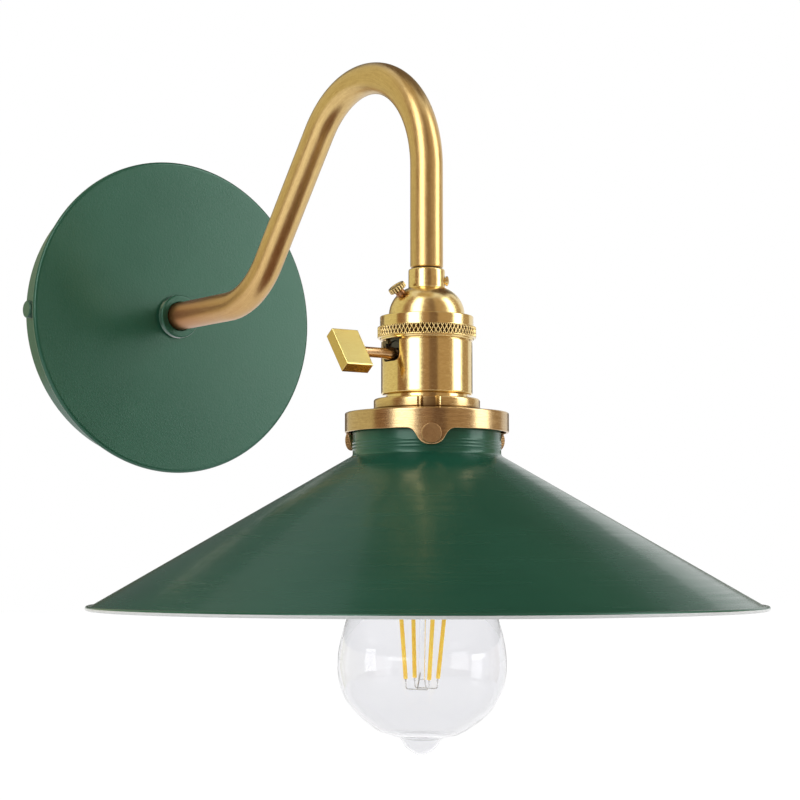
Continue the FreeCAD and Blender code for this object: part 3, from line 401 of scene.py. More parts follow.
arm_brass = brushed_brass(
    "arm_brass", 0.5, (1, 1, 14), low=(0.52, 0.345, 0.135), high=(0.68, 0.49, 0.21), rough=(0.26, 0.35),
    depth=0.006, follow="brushed", dark_brass=(0.33, 0.12, 0.045), dulling=0.05, metallic=0.9,
)
socket_out = 212.6
socket_centre = (0, -socket_out * MM, 0)
tube_radius, tube_bore, lip_round = 6.25, 5.05, 0.35
foot_run, bend_radius, arm_end = 46.0, 42.0, -0.3
lean = math.radians(51.5)
first_out = plate_depth + foot_run + bend_radius * math.tan(lean / 2)
arm_top = (socket_out - first_out) * math.tan(lean)
arm_corners = np.array([(plate_depth, 0.0), (first_out, 0.0), (socket_out, arm_top), (socket_out, arm_end)])


def bent_line(corners, radius, runs=14, arcs=120):
    """Centre line through corners (out, up): straight runs, and an arc of the radius at each inner corner.

    On an arc the direction turns evenly from one run to the next, and the place is the centre plus the
    radius times the direction's outward normal. Gives places and directions, in millimetres.
    """
    places, ways = [], []
    here = corners[0]
    for before, corner, after in zip(corners, corners[1:], corners[2:]):
        way = (corner - before) / np.hypot(*(corner - before))
        on = (after - corner) / np.hypot(*(after - corner))
        turn = math.acos(way @ on)
        side = np.sign(way[0] * on[1] - way[1] * on[0])
        start = corner - way * radius * math.tan(turn / 2)
        t = np.linspace(0, 1, runs, endpoint=False)[:, None]
        places.append(here + (start - here) * t)
        ways.append(np.tile(way, (runs, 1)))
        normal = side * np.array([-way[1], way[0]])
        a = np.linspace(0, turn, arcs, endpoint=False)[:, None]
        places.append(start + normal * radius * (1 - np.cos(a)) + way * radius * np.sin(a))
        ways.append(way * np.cos(a) + normal * np.sin(a))
        here = corner + on * radius * math.tan(turn / 2)
    way = (corners[-1] - here) / np.hypot(*(corners[-1] - here))
    t = np.linspace(0, 1, runs)[:, None]
    places.append(here + (corners[-1] - here) * t)
    ways.append(np.tile(way, (runs, 1)))
    return np.concatenate(places), np.concatenate(ways)


def tube_skin(places, ways, radii, columns=96):
    """Circles carried along a line in the plane x = 0: at angle a, place + r (cos a X + sin a normal)."""
    a = around(columns)
    out = places[None, :, 0] - radii * np.sin(a) * ways[None, :, 1]
    up = places[None, :, 1] + radii * np.sin(a) * ways[None, :, 0]
    return np.stack([radii * np.cos(a) + 0 * out, -out, up], -1) * MM


places, ways = bent_line(arm_corners, bend_radius)
count = len(places)
ends = places[-1:] - ways[-1:] * lip_round
places = np.concatenate([places[:-1], ends, places[-1:], places[-1:], places[::-1]])
ways = np.concatenate([ways[:-1], ways[-1:], ways[-1:], ways[-1:], ways[::-1]])
lip = [tube_radius - lip_round, tube_bore + 0.1]
radii = np.concatenate([np.full(count, tube_radius), lip, np.full(count, tube_bore)])
skin = tube_skin(places, ways, radii[None])
run = np.concatenate([[0], np.cumsum(np.hypot(*np.diff(places, axis=0).T))])[None]
a = around(len(skin))
brushed = np.stack([radii * np.cos(a), radii * np.sin(a), run + 0 * a], -1) * MM
# The arm's colour turns darker and redder over its first 110 mm from the plate.
plate_end_run, plate_end_share = 110.0, 0.9
plate_end_darkening = np.clip(1 - run / plate_end_run, 0, 1) ** 1.2 * plate_end_share + 0 * a
make(
    "arm", [(skin, True)], "fixture", [arm_brass], ["gooseneck_arm"],
    shade_and_tone=plate_end_darkening, brushed=brushed,
)

# Lampholder cap
# Brass spun into a dome with a straight neck that takes the arm's nipple. The dome carries a small boss
# with a knurled thumb screw, and the neck a slotted set screw.
dome_brass = brushed_brass("dome_brass", 0.5, (3, 3, 1), socket_centre, rough=(0.17, 0.28))
screw_brass = brushed_brass(
    "screw_brass", 0.35, (1, 1, 1), low=(0.36, 0.22, 0.10), high=(0.52, 0.35, 0.17), rough=(0.26, 0.4),
)
# The boss is given a dark brown copy of the brass: painted shade under the thumb screw's head.
shaded_boss_brass = brushed_brass(
    "shaded_boss_brass", 0.35, (1, 1, 1), low=(0.22, 0.10, 0.045), high=(0.34, 0.18, 0.08), rough=(0.26, 0.4),
)
cap_top, dome_top, ring_top = -0.8, -8.2, -19.1
cap_neck, dome_radius, flange_radius = 6.95, 14.35, 16.2
flange_top, flange_foot, brass_wall = -20.15, -21.35, 1.0


def arc_through(first, middle, last, count):
    """Points of the circle through three points: its centre is where the two chords' bisectors cross."""
    first, middle, last = (np.array(p, float) for p in (first, middle, last))
    chords = np.array([middle - first, last - first]) * 2
    centre = np.linalg.solve(chords, [middle @ middle - first @ first, last @ last - first @ first])
    a0, a1 = (math.atan2(*(p - centre)[::-1]) for p in (first, last))
    a1 += 2 * math.pi * round((a0 - a1) / (2 * math.pi))
    a = np.linspace(a0, a1, count)
    return [tuple(p) for p in centre + np.hypot(*(first - centre)) * np.stack([np.cos(a), np.sin(a)], -1)]


def on_axis(points):
    """Moves points made about Z to the lampholder's axis."""
    return points + np.array([0, -socket_out * MM, 0])


def pointed(points, place, direction):
    """Turns points made along Z to point along a direction, and moves them to a place in millimetres."""
    turn = np.array(Vector((0, 0, 1)).rotation_difference(Vector(direction)).to_matrix())
    return points @ turn.T + np.array(place) * MM


def bearing(angle):
    """Level direction, turned from straight out of the wall towards -X by degrees."""
    return np.array([-math.sin(math.radians(angle)), -math.cos(math.radians(angle)), 0.0])


dome_bore = dome_radius - brass_wall
dome = rounded([
    (tube_bore, cap_top), (cap_neck, cap_top, 1.1), (cap_neck, dome_top, 0.5),
    *arc_through((cap_neck, dome_top), (11.9, -11.6), (dome_radius, ring_top), 26)[2:],
    (dome_radius, flange_top), (flange_radius, flange_top), (flange_radius, flange_foot),
    (dome_bore, flange_foot),
    *arc_through((dome_bore, ring_top), (11.2, -12.3), (cap_neck - brass_wall, dome_top - brass_wall), 20),
    (tube_bore, dome_top - brass_wall),
])
boss_out, boss_drop, tilt = 12.25, 1.7, math.radians(38.0)
boss_side = bearing(95.0)
boss_way = boss_side * math.sin(tilt) + np.array([0, 0, math.cos(tilt)])
boss_place = np.array([0, -socket_out, dome_top - boss_drop]) + boss_side * boss_out
boss = rounded(
    [(0, -5.6), (2.5, -5.6), (2.2, -4.2, 0.6), (1.85, -3.0, 0.8), (1.8, 0, 0.3), (0, 0)], closed=False,
)
skins = [
    (on_axis(lathe(dome, 256)), True),
    (pointed(lathe(boss, 64), boss_place, boss_way), False, 1, False),
]
make("cap", skins, "fixture", [dome_brass, shaded_boss_brass], ["socket_cap"])


def ribbed(profile, start, end, ribs, depth, columns):
    """Lathe skin with ribs round its rim, from start to end along. Its radius dips between them.

    The dip is the depth times 1 - |sin(ribs a / 2)|^0.7. Also gives how deep each point lies, 0 to 1.
    """
    skin = lathe(profile, columns)
    a = around(columns)
    across, along = profile.T
    inside = (along > start * MM) & (along < end * MM) & (across > 0.5 * across.max())
    deep = (1 - np.abs(np.sin(ribs * a / 2)) ** 0.7) * inside[None]
    skin[..., 0] -= depth * MM * deep * np.cos(a)
    skin[..., 1] -= depth * MM * deep * np.sin(a)
    return skin, deep


shank_radius, shank_end, thumb_radius, thumb_height = 0.95, -4.9, 3.4, 2.0
thumb = rounded([
    (0, shank_end), (shank_radius, shank_end), (shank_radius, 0), (thumb_radius, 0, 0.35),
    (thumb_radius, thumb_height, 0.35), (2.3, thumb_height, 0.2), (2.1, 1.75, 0.2), (0, 1.75),
], closed=False)
skin, deep = ribbed(thumb, 0.1, 1.9, 18, 0.6, 360)
# The grooves between the ribs are painted darker: painted shade.
make(
    "thumb_screw", [(pointed(skin, boss_place + 0.3 * boss_way, boss_way), False)],
    "thumb_screw", [dome_brass], ["cap_thumb_screw"], shade_and_tone=np.clip(1.4 * deep, 0, 1),
)
coat(dome_brass, "cap_set_screw")
coat(moulded("oiled_thread", (0.035, 0.022, 0.012), 0.5), "arm_end_nipple")

# Lampholder ring
# A turned brass ring that screws the body to the cap. Its lower half is a band of diamond knurling: two
# sets of grooves rolled across each other, which leave raised lines with sunken diamonds between them.
# The diamonds carry painted shade.
ring_brass = brushed_brass("ring_brass", 0.35, (8, 8, 1), socket_centre)
ring_radius, knurl_radius, knurl_top, knurl_bottom, ring_bottom = 17.75, 18.7, -23.2, -27.4, -28.3
ring_bore, flange_bore = dome_radius + 0.05, flange_radius + 0.05
band = [(knurl_radius, z) for z in np.linspace(knurl_top - 0.3, knurl_bottom + 0.3, 34)]
knurled = rounded([
    (ring_bore, ring_top), (ring_radius, ring_top, 0.4), (ring_radius, knurl_top, 0.2),
    (knurl_radius, knurl_top, 0.3), *band, (knurl_radius, knurl_bottom, 0.3),
    (ring_radius + 0.1, knurl_bottom, 0.2), (ring_radius, ring_bottom, 0.4),
    (flange_bore, ring_bottom), (flange_bore, ring_top - 1), (ring_bore, ring_top - 1),
])
diamonds, diamond_height, groove = 70, 3.06, 0.6
skin = lathe(knurled, diamonds * 16)
turns = np.linspace(0, diamonds, len(skin), endpoint=False)[:, None]
rows = knurled[None, :, 1] / (diamond_height * MM)
lines = [1 - np.abs((turns + s * rows) % 1 - 0.5) * 2 for s in (1, -1)]
ridge = np.maximum(*(np.clip(1.15 - line / 0.5, 0, 1) for line in lines))
across, along = knurled.T / MM
inside = (across > knurl_radius - 0.02) & (np.abs(along - (knurl_top + knurl_bottom) / 2) < 1.75)
deep = (1 - ridge) * inside[None]
skin[..., :2] *= (1 - groove * MM * deep / knurled[None, :, 0])[..., None]
# The sunken diamonds are painted darker: painted shade.
make(
    "ring", [(on_axis(skin), True)], "fixture", [ring_brass], ["socket_ring"],
    sharp=60, shade_and_tone=np.clip(1.7 * deep - 0.25, 0, 1),
)

# Lampholder body
# Deep-drawn brass shell with a round foot and a threaded spigot below it, slotted at the side for the
# key. The slot is a rounded prism cut through the turned shell.
body_brass = brushed_brass("body_brass", 0.35, (5, 5, 1), socket_centre)
body_radius, body_top, body_bottom, spigot = 17.3, -28.8, -49.1, 15.4
lip_radius, lip_top, spigot_foot, key_height = 16.2, -21.4, -60.1, -34.1
lip_bore, body_bore, spigot_bore = (r - brass_wall for r in (lip_radius, body_radius, spigot))
shell = rounded([
    (lip_bore, lip_top), (lip_radius, lip_top), (lip_radius, body_top), (body_radius, body_top, 0.3),
    (body_radius, body_bottom, 1.5), (spigot, body_bottom), (spigot, spigot_foot),
    (spigot_bore, spigot_foot), (spigot_bore, body_bottom + brass_wall),
    (body_bore, body_bottom + brass_wall, 0.5),
    (body_bore, body_top - brass_wall), (lip_bore, body_top - brass_wall),
])
skins = [(on_axis(lathe(shell, 320)), True)]
socket_body = make("body", skins, "fixture", [body_brass], ["socket_body"])
slot_half, slot_round, slot_foot, slot_head = 5.2, 2.8, key_height - 2.9, body_top + 0.5
slot_edge = rounded([
    (-slot_half, slot_head), (-slot_half, slot_foot, slot_round),
    (slot_half, slot_foot, slot_round), (slot_half, slot_head),
])
depths = np.array([-13.2, -22.0]) * MM
count = len(slot_edge)
slot_across, slot_up = slot_edge[:, :1] - socket_out * MM, slot_edge[:, 1:]
slot_grid = np.stack(np.broadcast_arrays(depths, slot_across, slot_up), -1)
cutter_mesh = mesh_from("slot_cutter", slot_grid.reshape(-1, 3).tolist(), [
    *skin_faces(count, 2, False).tolist(), list(range(0, 2 * count, 2)), list(range(1, 2 * count, 2))[::-1],
])


def faces_out(loose):
    """Turns the faces of a closed mesh outwards."""
    bmesh.ops.recalc_face_normals(loose, faces=loose.faces)


rework(cutter_mesh, faces_out)
cutter = put("slot_cutter", cutter_mesh)
cut = socket_body.modifiers.new("key_slot", "BOOLEAN")
cut.operation, cut.solver, cut.object = "DIFFERENCE", "EXACT", cutter
bpy.context.view_layer.update()
opened = bpy.data.meshes.new_from_object(socket_body.evaluated_get(bpy.context.evaluated_depsgraph_get()))
socket_body.modifiers.remove(cut)
socket_body.data = opened
bpy.data.objects.remove(cutter)
opened.shade_smooth()
opened.set_sharp_from_angle(angle=math.radians(35))

# Switch and contacts inside the lampholder
# A moulded black block with the rotary switch, a dark fibre liner, a ceramic sleeve and the screw shell.
# Only the liner and the block's side show, through the key's slot.
plain_brass = brushed_brass("plain_brass", 0.8, (1, 1, 1), rough=(0.25, 0.4))
coat(phenolic, "socket_insulator", "switch_rotor")
coat(fibre, "insulating_liner")
coat(porcelain, "shell_sleeve")
coat(plain_brass, "screw_shell", "centre_contact", "contact_rivets", "pillar_terminals", "switch_blade")
coat(plain_brass, "holder_ring_nut")

# Switch key
# A turned brass stem with a collar at the body's wall, and a flat milled block across its end, brushed
# and with its edges just broken. Turning it works the switch.
# The paddle's broad faces get a bright copy of the brass, a painted highlight, and its ends and narrow
# sides a darker copy, painted shade.
key_lit_face_brass = brushed_brass(
    "key_lit_face_brass", 0.25, (20, 1, 1), low=(0.95, 0.81, 0.30), high=(1.0, 0.90, 0.36), rough=(0.26, 0.33),
    depth=0.002,
)
key_shaded_side_brass = brushed_brass(
    "key_shaded_side_brass", 0.25, (20, 1, 1), low=(0.56, 0.40, 0.13), high=(0.66, 0.49, 0.17), rough=(0.2, 0.3),
    depth=0.002,
)
stem_brass = brushed_brass(
    "stem_brass", 0.4, (1, 1, 6), low=(0.42, 0.26, 0.13), high=(0.58, 0.39, 0.20), rough=(0.2, 0.3),
)
key_place = np.array([0, -socket_out, key_height])
stem_radius, stem_start, stem_end, stop_radius = 1.95, 3.9, 33.4, 2.5
stem = rounded([
    (0, stem_start), (stem_radius, stem_start), (stem_radius, 15.3), (stop_radius, 15.3, 0.4),
    (stop_radius, 17.3, 2.0), (stem_radius, 20.0, 4.0), (stem_radius, stem_end), (0, stem_end),
], closed=False)
make(
    "key_stem", [(pointed(lathe(stem, 64), key_place, (-1, 0, 0)), False)],
    "switch_key", [stem_brass], ["key_spindle"],
)
length, thickness, width, start = 17.5, 4.8, 11.7, 29.4
turn = math.radians(36.6)
out, aside, up = (each.reshape(-1) for each in np.meshgrid(
    [start, start + width], [-thickness / 2, thickness / 2], [-length / 2, length / 2], indexing="ij",
))
paddle_points = np.stack([
    -out, aside * math.cos(turn) + up * math.sin(turn), up * math.cos(turn) - aside * math.sin(turn),
], -1)
paddle_mesh = mesh_from("key_paddle_mesh", ((paddle_points + key_place) * MM).tolist(), [
    (0, 1, 3, 2), (4, 6, 7, 5), (0, 4, 5, 1), (2, 3, 7, 6), (0, 2, 6, 4), (1, 5, 7, 3),
], [key_lit_face_brass, key_shaded_side_brass])
rework(paddle_mesh, faces_out)
paddle_mesh.polygons.foreach_set("material_index", [1, 1, 0, 0, 1, 1])
paddle = dress("key_blade", paddle_mesh, "switch_key", ["key_paddle"], 80)
broken = paddle.modifiers.new("broken_edges", "BEVEL")
broken.width, broken.segments, broken.harden_normals = 0.45 * MM, 3, True

# Lobed collar
# A turned brass nut on the spigot whose rim is milled into three lobes. Between them it is drawn in
# towards the hub, by a rounded step at each side of a notch. The notches and the lobes' undersides carry
# painted shade.
collar_brass = brushed_brass(
    "collar_brass", 0.5, (8, 8, 1), socket_centre, low=(0.56, 0.39, 0.175), high=(0.74, 0.55, 0.26),
    rough=(0.16, 0.26), dark_brass=(0.10, 0.05, 0.02), dulling=0.2,
)
lugs = (33.5, 153.5, 273.5)


def off_lug(columns, lug):
    """Angle of each column of a skin from a lug, -180 to 180 degrees."""
    return (np.degrees(around(columns)) - (270 - lug) + 180) % 360 - 180


hub, rim, lobe_top, lobe_foot = 15.45, 20.1, -50.5, -54.5
notch_half, notch_side, notch_depth = 13.5, 5.5, 0.655
lobes = rounded([(hub, lobe_foot), (rim, lobe_foot, 0.5), (rim, lobe_top, 0.9), (hub, lobe_top, 0.3)])
skin = lathe(lobes, 1080)
inside = np.zeros((len(skin), 1))
for lug in lugs:
    step = np.clip((notch_half - np.abs(off_lug(len(skin), lug))) / notch_side, 0, 1)
    inside = np.maximum(inside, 1 - np.sqrt(1 - step * step))
across, along = lobes[None].transpose(2, 0, 1) / MM
drawn = hub + (across - hub) * (1 - notch_depth * inside)
skin[..., :2] *= (drawn / across)[..., None]
outer_face = (across > hub + 0.3) & (along < lobe_top - 0.3)
# The lobes' undersides and, more faintly, the notches' outer faces are painted darker: painted shade.
shade_under_lobes = np.clip((lobe_foot + 0.9 - along) / 0.8, 0, 1)
make(
    "collar", [(on_axis(skin), True)], "fixture", [collar_brass], ["lobed_collar"],
    shade_and_tone=np.clip(0.45 * inside * outer_face + 0.8 * shade_under_lobes, 0, 1),
)

# Shade holder
# A shallow spun brass cup over the shade's neck, brushed round its side. Three lugs hang from its edge,
# each with a thumb screw. Its lower edge at angle a is the lug's outline, laid round the cup.
holder_brass = brushed_brass(
    "holder_brass", 0.45, (14, 14, 1), socket_centre, low=(0.45, 0.305, 0.15), high=(0.62, 0.455, 0.24),
    rough=(0.17, 0.25),
)
cup_radius, crown, cup_shoulder, cup_edge, wall = 31.0, -54.6, -55.8, -63.3, 1.2
crown_radius, lug_root, bore = 20.8, -58.0, cup_radius - wall
cup = rounded([
    (hub, crown), (crown_radius, crown, 1.0), (cup_radius, cup_shoulder, 0.6), (cup_radius, lug_root),
    (cup_radius, lug_root - 2), (cup_radius, cup_edge, 0.35), (bore, cup_edge, 0.35), (bore, lug_root - 2),
    (bore, lug_root), (bore, cup_shoulder - wall), (crown_radius, crown - wall), (hub, crown - wall),
])
lug_foot, lug_head, lug_drop = 7.0, 3.4, -6.1
lug_line = rounded([
    (-16, 0), (-lug_foot, 0, 4.0), (-lug_head, lug_drop, 5.0),
    (lug_head, lug_drop, 5.0), (lug_foot, 0, 4.0), (16, 0),
], closed=False) / MM
skin = lathe(cup, 1440)
drop = np.zeros((len(skin), 1))
for lug in lugs:
    away = np.radians(off_lug(len(skin), lug)) * cup_radius
    drop = np.minimum(drop, np.interp(away, *lug_line.T))
along = cup[None, :, 1] / MM
share = np.clip((lug_root - along) / (lug_root - cup_edge), 0, 1)
skin[..., 2] = (along + share * drop) * MM
skins = [(on_axis(skin), True)]
make("holder", skins, "fixture", [holder_brass], ["shade_holder"])

# Shade screws
# Three turned brass thumb screws with a knurled rim and a flat satin face, through the holder's lugs.
# Their tips reach to the shade's neck.
screw_height, head_gap = -65.3, 0.4


def thumb_head(shank, foot, radius, height, inset, crown):
    """Half outline of a screw along its axis: a shank down to its foot, and a head with broken rims."""
    return rounded([
        (0, foot), (shank, foot), (shank, 0), (radius - 0.3, 0, 0.2), (radius, 0.3),
        (radius, height - 0.4), (radius - inset, height, crown), (0, height),
    ], closed=False)


head = thumb_head(shank=1.5, foot=-3.05, radius=3.8, height=2.1, inset=0.25, crown=0.2)
for number, (lug, body) in enumerate(zip(lugs, ("front_screw", "back_screw", "side_screw")), 1):
    place = np.array([0, -socket_out, screw_height]) + bearing(lug) * (cup_radius + head_gap)
    skin, deep = ribbed(head, 0.2, 1.8, 34, 0.28, 408)
    # The grooves between the ribs are painted darker: painted shade.
    make(
        f"{body}_head", [(pointed(skin, place, bearing(lug)), False)],
        body, [screw_brass], [f"shade_screw_{number}"], shade_and_tone=0.8 * deep,
    )

# Side screws
# Two painted steel thumb screws with ribbed heads, which hold the plate to the crossbar's ears.
screw_out = 6.0
side_head = thumb_head(shank=2.0, foot=-7.0, radius=3.9, height=2.8, inset=0.4, crown=0.3)
skins = []
for way in ((-1, 0, 0), (1, 0, 0)):
    skin = ribbed(side_head, 0.3, 2.5, 24, 0.3, 288)[0]
    place = np.array([way[0] * skirt_radius, -screw_out, 0])
    skins.append((pointed(skin, place, way), False))
make("plate_screws", skins, "fixture", [plate_paint], ["side_screws"])

# Shade
# A cone spun from 0.9 mm steel with a straight neck and a rolled rim. The roller left three faint
# ridges round the neck's foot. It is enamelled a glossy green, and white inside and round the rim.
shade_green, shader = finish(
    "shade_green", (0.017, 0.10, 0.058), roughness=0.3, Specular_IOR_Level=0.32,
    Specular_Tint=(0.72, 1.0, 0.88, 1), Coat_Weight=0.15, Coat_Roughness=0.08,
)
lines = grain(shade_green, 1.1, 3, (60, 60, 1), socket_centre, 0.55)
cloud = grain(shade_green, 30, 3)
dust = grain(shade_green, 0.5, 1)
drift(shade_green, shader, cloud, (0.015, 0.096, 0.055), (0.019, 0.108, 0.063))
wire(shade_green, span(shade_green, lines, 0.2, 0.3), shader.inputs["Roughness"])
waves = grain(shade_green, 3.5, 2, (20, 20, 1), socket_centre)
bumps = raised(shade_green, shader, (lines, 0.03), (dust, 0.005), (waves, 0.12))
wire(shade_green, bumps, shader.inputs["Coat Normal"])
shade_white, shader = finish("shade_white", (0.82, 0.83, 0.82), roughness=0.35, Specular_IOR_Level=0.5)
drift(shade_white, shader, grain(shade_white, 25, 3), (0.79, 0.80, 0.79), (0.85, 0.86, 0.85), (0.28, 0.42))
raised(shade_white, shader, (grain(shade_white, 1.0, 3, (40, 40, 1), socket_centre), 0.02))

neck, neck_top, shoulder, rim_line, bead, sheet = 28.05, -58.3, -72.0, 126.0, 1.0, 0.9
slope = math.tan(math.radians(30))
rim_height = shoulder - slope * (rim_line - neck)
across = np.linspace(neck + 6, rim_line - 1.2, 48)
ridge_top, ridge_pitch, ridge_rise, ridge_count = -66.6, 1.2, 0.09, 3
ridges = [
    (neck + ridge_rise * (1 - math.cos(2 * math.pi * down / ridge_pitch)), ridge_top - down)
    for down in np.linspace(0, ridge_count * ridge_pitch, 37)
]
outside = rounded([
    (neck - sheet, neck_top), (neck, neck_top, 0.3), (neck, neck_top - 4), *ridges, (neck, shoulder, 3.0),
    *[(r, shoulder - slope * (r - neck)) for r in across],
], closed=False)
a = np.radians(np.linspace(140, -163.3, 40))
roll = np.stack([rim_line + bead * np.cos(a), rim_height - 0.2 + bead * np.sin(a)], -1) * MM
down = sheet / math.cos(math.radians(30))
inner_shoulder = shoulder + slope * sheet - down
within = rounded(
    [(r, shoulder - slope * (r - neck) - down) for r in across[::-1]]
    + [(neck - sheet, inner_shoulder, 3.9), (neck - sheet, neck_top)], closed=False,
)
whole = np.concatenate([outside, roll, within])
green_until = len(outside) + int(np.argmax(a < math.radians(12)))
paints = (np.arange(len(whole)) >= green_until).astype(int)
skins = [(on_axis(lathe(whole, 360)), True, paints, False)]
make("shade", skins, "fixture", [shade_green, shade_white], ["lamp_shade"])

# Lamp glass
# Clear blown glass with an even 0.6 mm wall and a drawn tip, cemented into the screw cap. The lamp hangs
# a degree off the holder's axis in its thread.
lamp_top, glass_top, glass_radius, glass_length, glass_wall = -42.8, -63.9, 31.73, 119.9, 0.6


def smooth_through(points, count):
    """Natural cubic spline through the points over their chord lengths, sampled evenly.

    Its second derivatives m solve h0 m0 + 2 (h0 + h1) m1 + h1 m2 = 6 (slope1 - slope0) at each inner point.
    """
    points = np.array(points, float)
    t = np.concatenate([[0], np.cumsum(np.hypot(*np.diff(points, axis=0).T))])
    h = np.diff(t)
    slopes = np.diff(points, axis=0) / h[:, None]
    system = np.eye(len(t))
    inner = np.arange(1, len(t) - 1)
    system[inner, inner - 1] = h[:-1]
    system[inner, inner] = 2 * (h[:-1] + h[1:])
    system[inner, inner + 1] = h[1:]
    right = np.zeros_like(points)
    right[1:-1] = 6 * np.diff(slopes, axis=0)
    m = np.linalg.solve(system, right)
    u = np.linspace(0, t[-1], count)
    k = np.clip(np.searchsorted(t, u) - 1, 0, len(h) - 1)
    x, y = ((t[k + 1] - u) / h[k])[:, None], ((u - t[k]) / h[k])[:, None]
    bend = ((x**3 - x) * m[k] + (y**3 - y) * m[k + 1]) * (h[k] ** 2)[:, None] / 6
    return x * points[k] + y * points[k + 1] + bend


def hung(points):
    """Leans points made about Z by a degree about the lamp's contact, and puts them on the axis."""
    away = Vector(bearing(125.0))
    turn = np.array(Matrix.Rotation(math.radians(-1.0), 3, Vector((0, 0, 1)).cross(away)))
    pivot = np.array([0, 0, lamp_top * MM])
    return on_axis((points - pivot) @ turn.T + pivot)


shares = [
    (0.387, 0.0), (0.388, 0.055), (0.402, 0.09), (0.47, 0.19), (0.62, 0.345), (0.78, 0.47),
    (0.91, 0.582), (1.0, 0.736), (0.926, 0.814), (0.77, 0.873), (0.60, 0.909), (0.39, 0.938),
    (0.255, 0.949), (0.186, 0.973), (0.11, 0.99),
]
side = [(r * glass_radius, glass_top - d * glass_length) for r, d in shares]
both = side + [(0, glass_top - glass_length)] + [(-r, z) for r, z in side[:-7:-1]]
line = smooth_through(both, 420)
line = line[: int(np.argmax(line[:, 0] <= 1e-6)) or None]
outer_glass = np.concatenate([line[line[:, 0] > 0.02], [(0, line[-1, 1])]])
way = np.gradient(line, axis=0).T
normal = np.stack([way[1], -way[0]], -1) / np.hypot(*way)[:, None]
inner_glass = line + glass_wall * normal
inner_glass = np.concatenate([inner_glass[inner_glass[:, 0] > 0.05], [(0, line[-1, 1] + glass_wall)]])
inner_glass[0, 1] = glass_top
outer_glass = np.concatenate([inner_glass[:1], outer_glass])

glassy = {"IOR": 1.42, "Transmission_Weight": 1.0}
clear_glass, shader = finish("clear_glass", (0.90, 0.90, 0.915), roughness=0.0, **glassy)
drift(clear_glass, shader, grain(clear_glass, 40, 2), (0.88, 0.88, 0.895), (0.905, 0.905, 0.92))
raised(clear_glass, shader, (grain(clear_glass, 18, 2), 0.1))
skins = [
    (hung(lathe(outer_glass * MM, 192)), False),
    (hung(lathe(inner_glass * MM, 192)), False, 0, True),
]
make("lamp_glass", skins, "lamp", [clear_glass], ["bulb_envelope"], sharp=60)

# Lamp cap
# Nickel-plated brass rolled into the screw thread, with a black glass plug and a solder button on top.
# The thread is a helix: the radius dips by a cosine of the turns made minus the height over the pitch.
nickel, shader = finish("nickel", (0.66, 0.65, 0.62), metallic=1.0, roughness=0.28)
drift(nickel, shader, grain(nickel, 4, 4), (0.56, 0.55, 0.52), (0.72, 0.71, 0.68), (0.2, 0.36))
raised(nickel, shader, (grain(nickel, 0.4, 2), 0.01))
cap_radius, cap_shoulder, cap_foot, pitch = 12.95, -48.9, -69.9, 3.6
plug_radius, can_top, thread_depth = 9.0, -45.9, 0.75
wall_line = [(cap_radius, z) for z in np.linspace(cap_shoulder - 0.6, cap_foot + 0.6, 90)]
bore = cap_radius - 0.4
can = rounded([
    (plug_radius, can_top), (plug_radius + 0.5, can_top), (cap_radius, cap_shoulder, 0.8), *wall_line,
    (cap_radius, cap_foot, 0.2), (bore, cap_foot, 0.2), (bore, cap_shoulder - 0.5),
    (plug_radius, can_top - 0.5),
])
skin = lathe(can, 192)
turns = np.linspace(0, 1, len(skin), endpoint=False)[:, None]
height = can[None, :, 1] / MM
worked = np.clip((cap_shoulder - 0.5 - height) / 2, 0, 1) * np.clip((height - cap_foot - 4) / 2, 0, 1)
wave = 0.5 - 0.5 * np.cos(2 * np.pi * (turns - height / pitch))
radius = can[None, :, 0] / MM
dip = thread_depth * wave * worked * (radius > cap_radius - 0.05)
skin[..., :2] *= (1 - dip / radius)[..., None]
make("lamp_cap", [(hung(skin), True)], "lamp", [nickel], ["bulb_cap"])
black_glass = moulded("black_glass", (0.012, 0.012, 0.014), 0.15, 1.0, 0.01)
coat(black_glass, "bulb_cap_insulator")
coat(nickel, "bulb_contact", "filament_wires")
coat(circuit, "bulb_driver")

# Lamp stem
# The glass mount: a flare sealed to the neck, a press round the lead wires, and a thin rod below it
# that steadies the rods' feet.
stem_glass, shader = finish("stem_glass", (1.0, 1.0, 1.0), roughness=0.02, **glassy)
drift(stem_glass, shader, grain(stem_glass, 12, 2), (0.95, 0.97, 0.98), (1.0, 1.0, 1.0))
raised(stem_glass, shader, (grain(stem_glass, 5, 2), 0.15))
press_foot, rod_foot, thin_radius = glass_top - 46.0, glass_top - 92.0, 1.35
mount = rounded([
    (0, rod_foot), (thin_radius, rod_foot, 0.6), (thin_radius, press_foot, 1.0),
    (3.5, press_foot + 3.5, 1.5), (3.5, glass_top - 12, 4.0),
    *arc_through((3.6, glass_top - 11), (5.4, glass_top - 5), (11.3, glass_top - 0.05), 12)[1:],
    (0, glass_top - 0.05),
], closed=False)
skins = [(hung(lathe(mount, 96)), False)]
make("lamp_stem", skins, "lamp", [stem_glass], ["bulb_stem"], sharp=60)

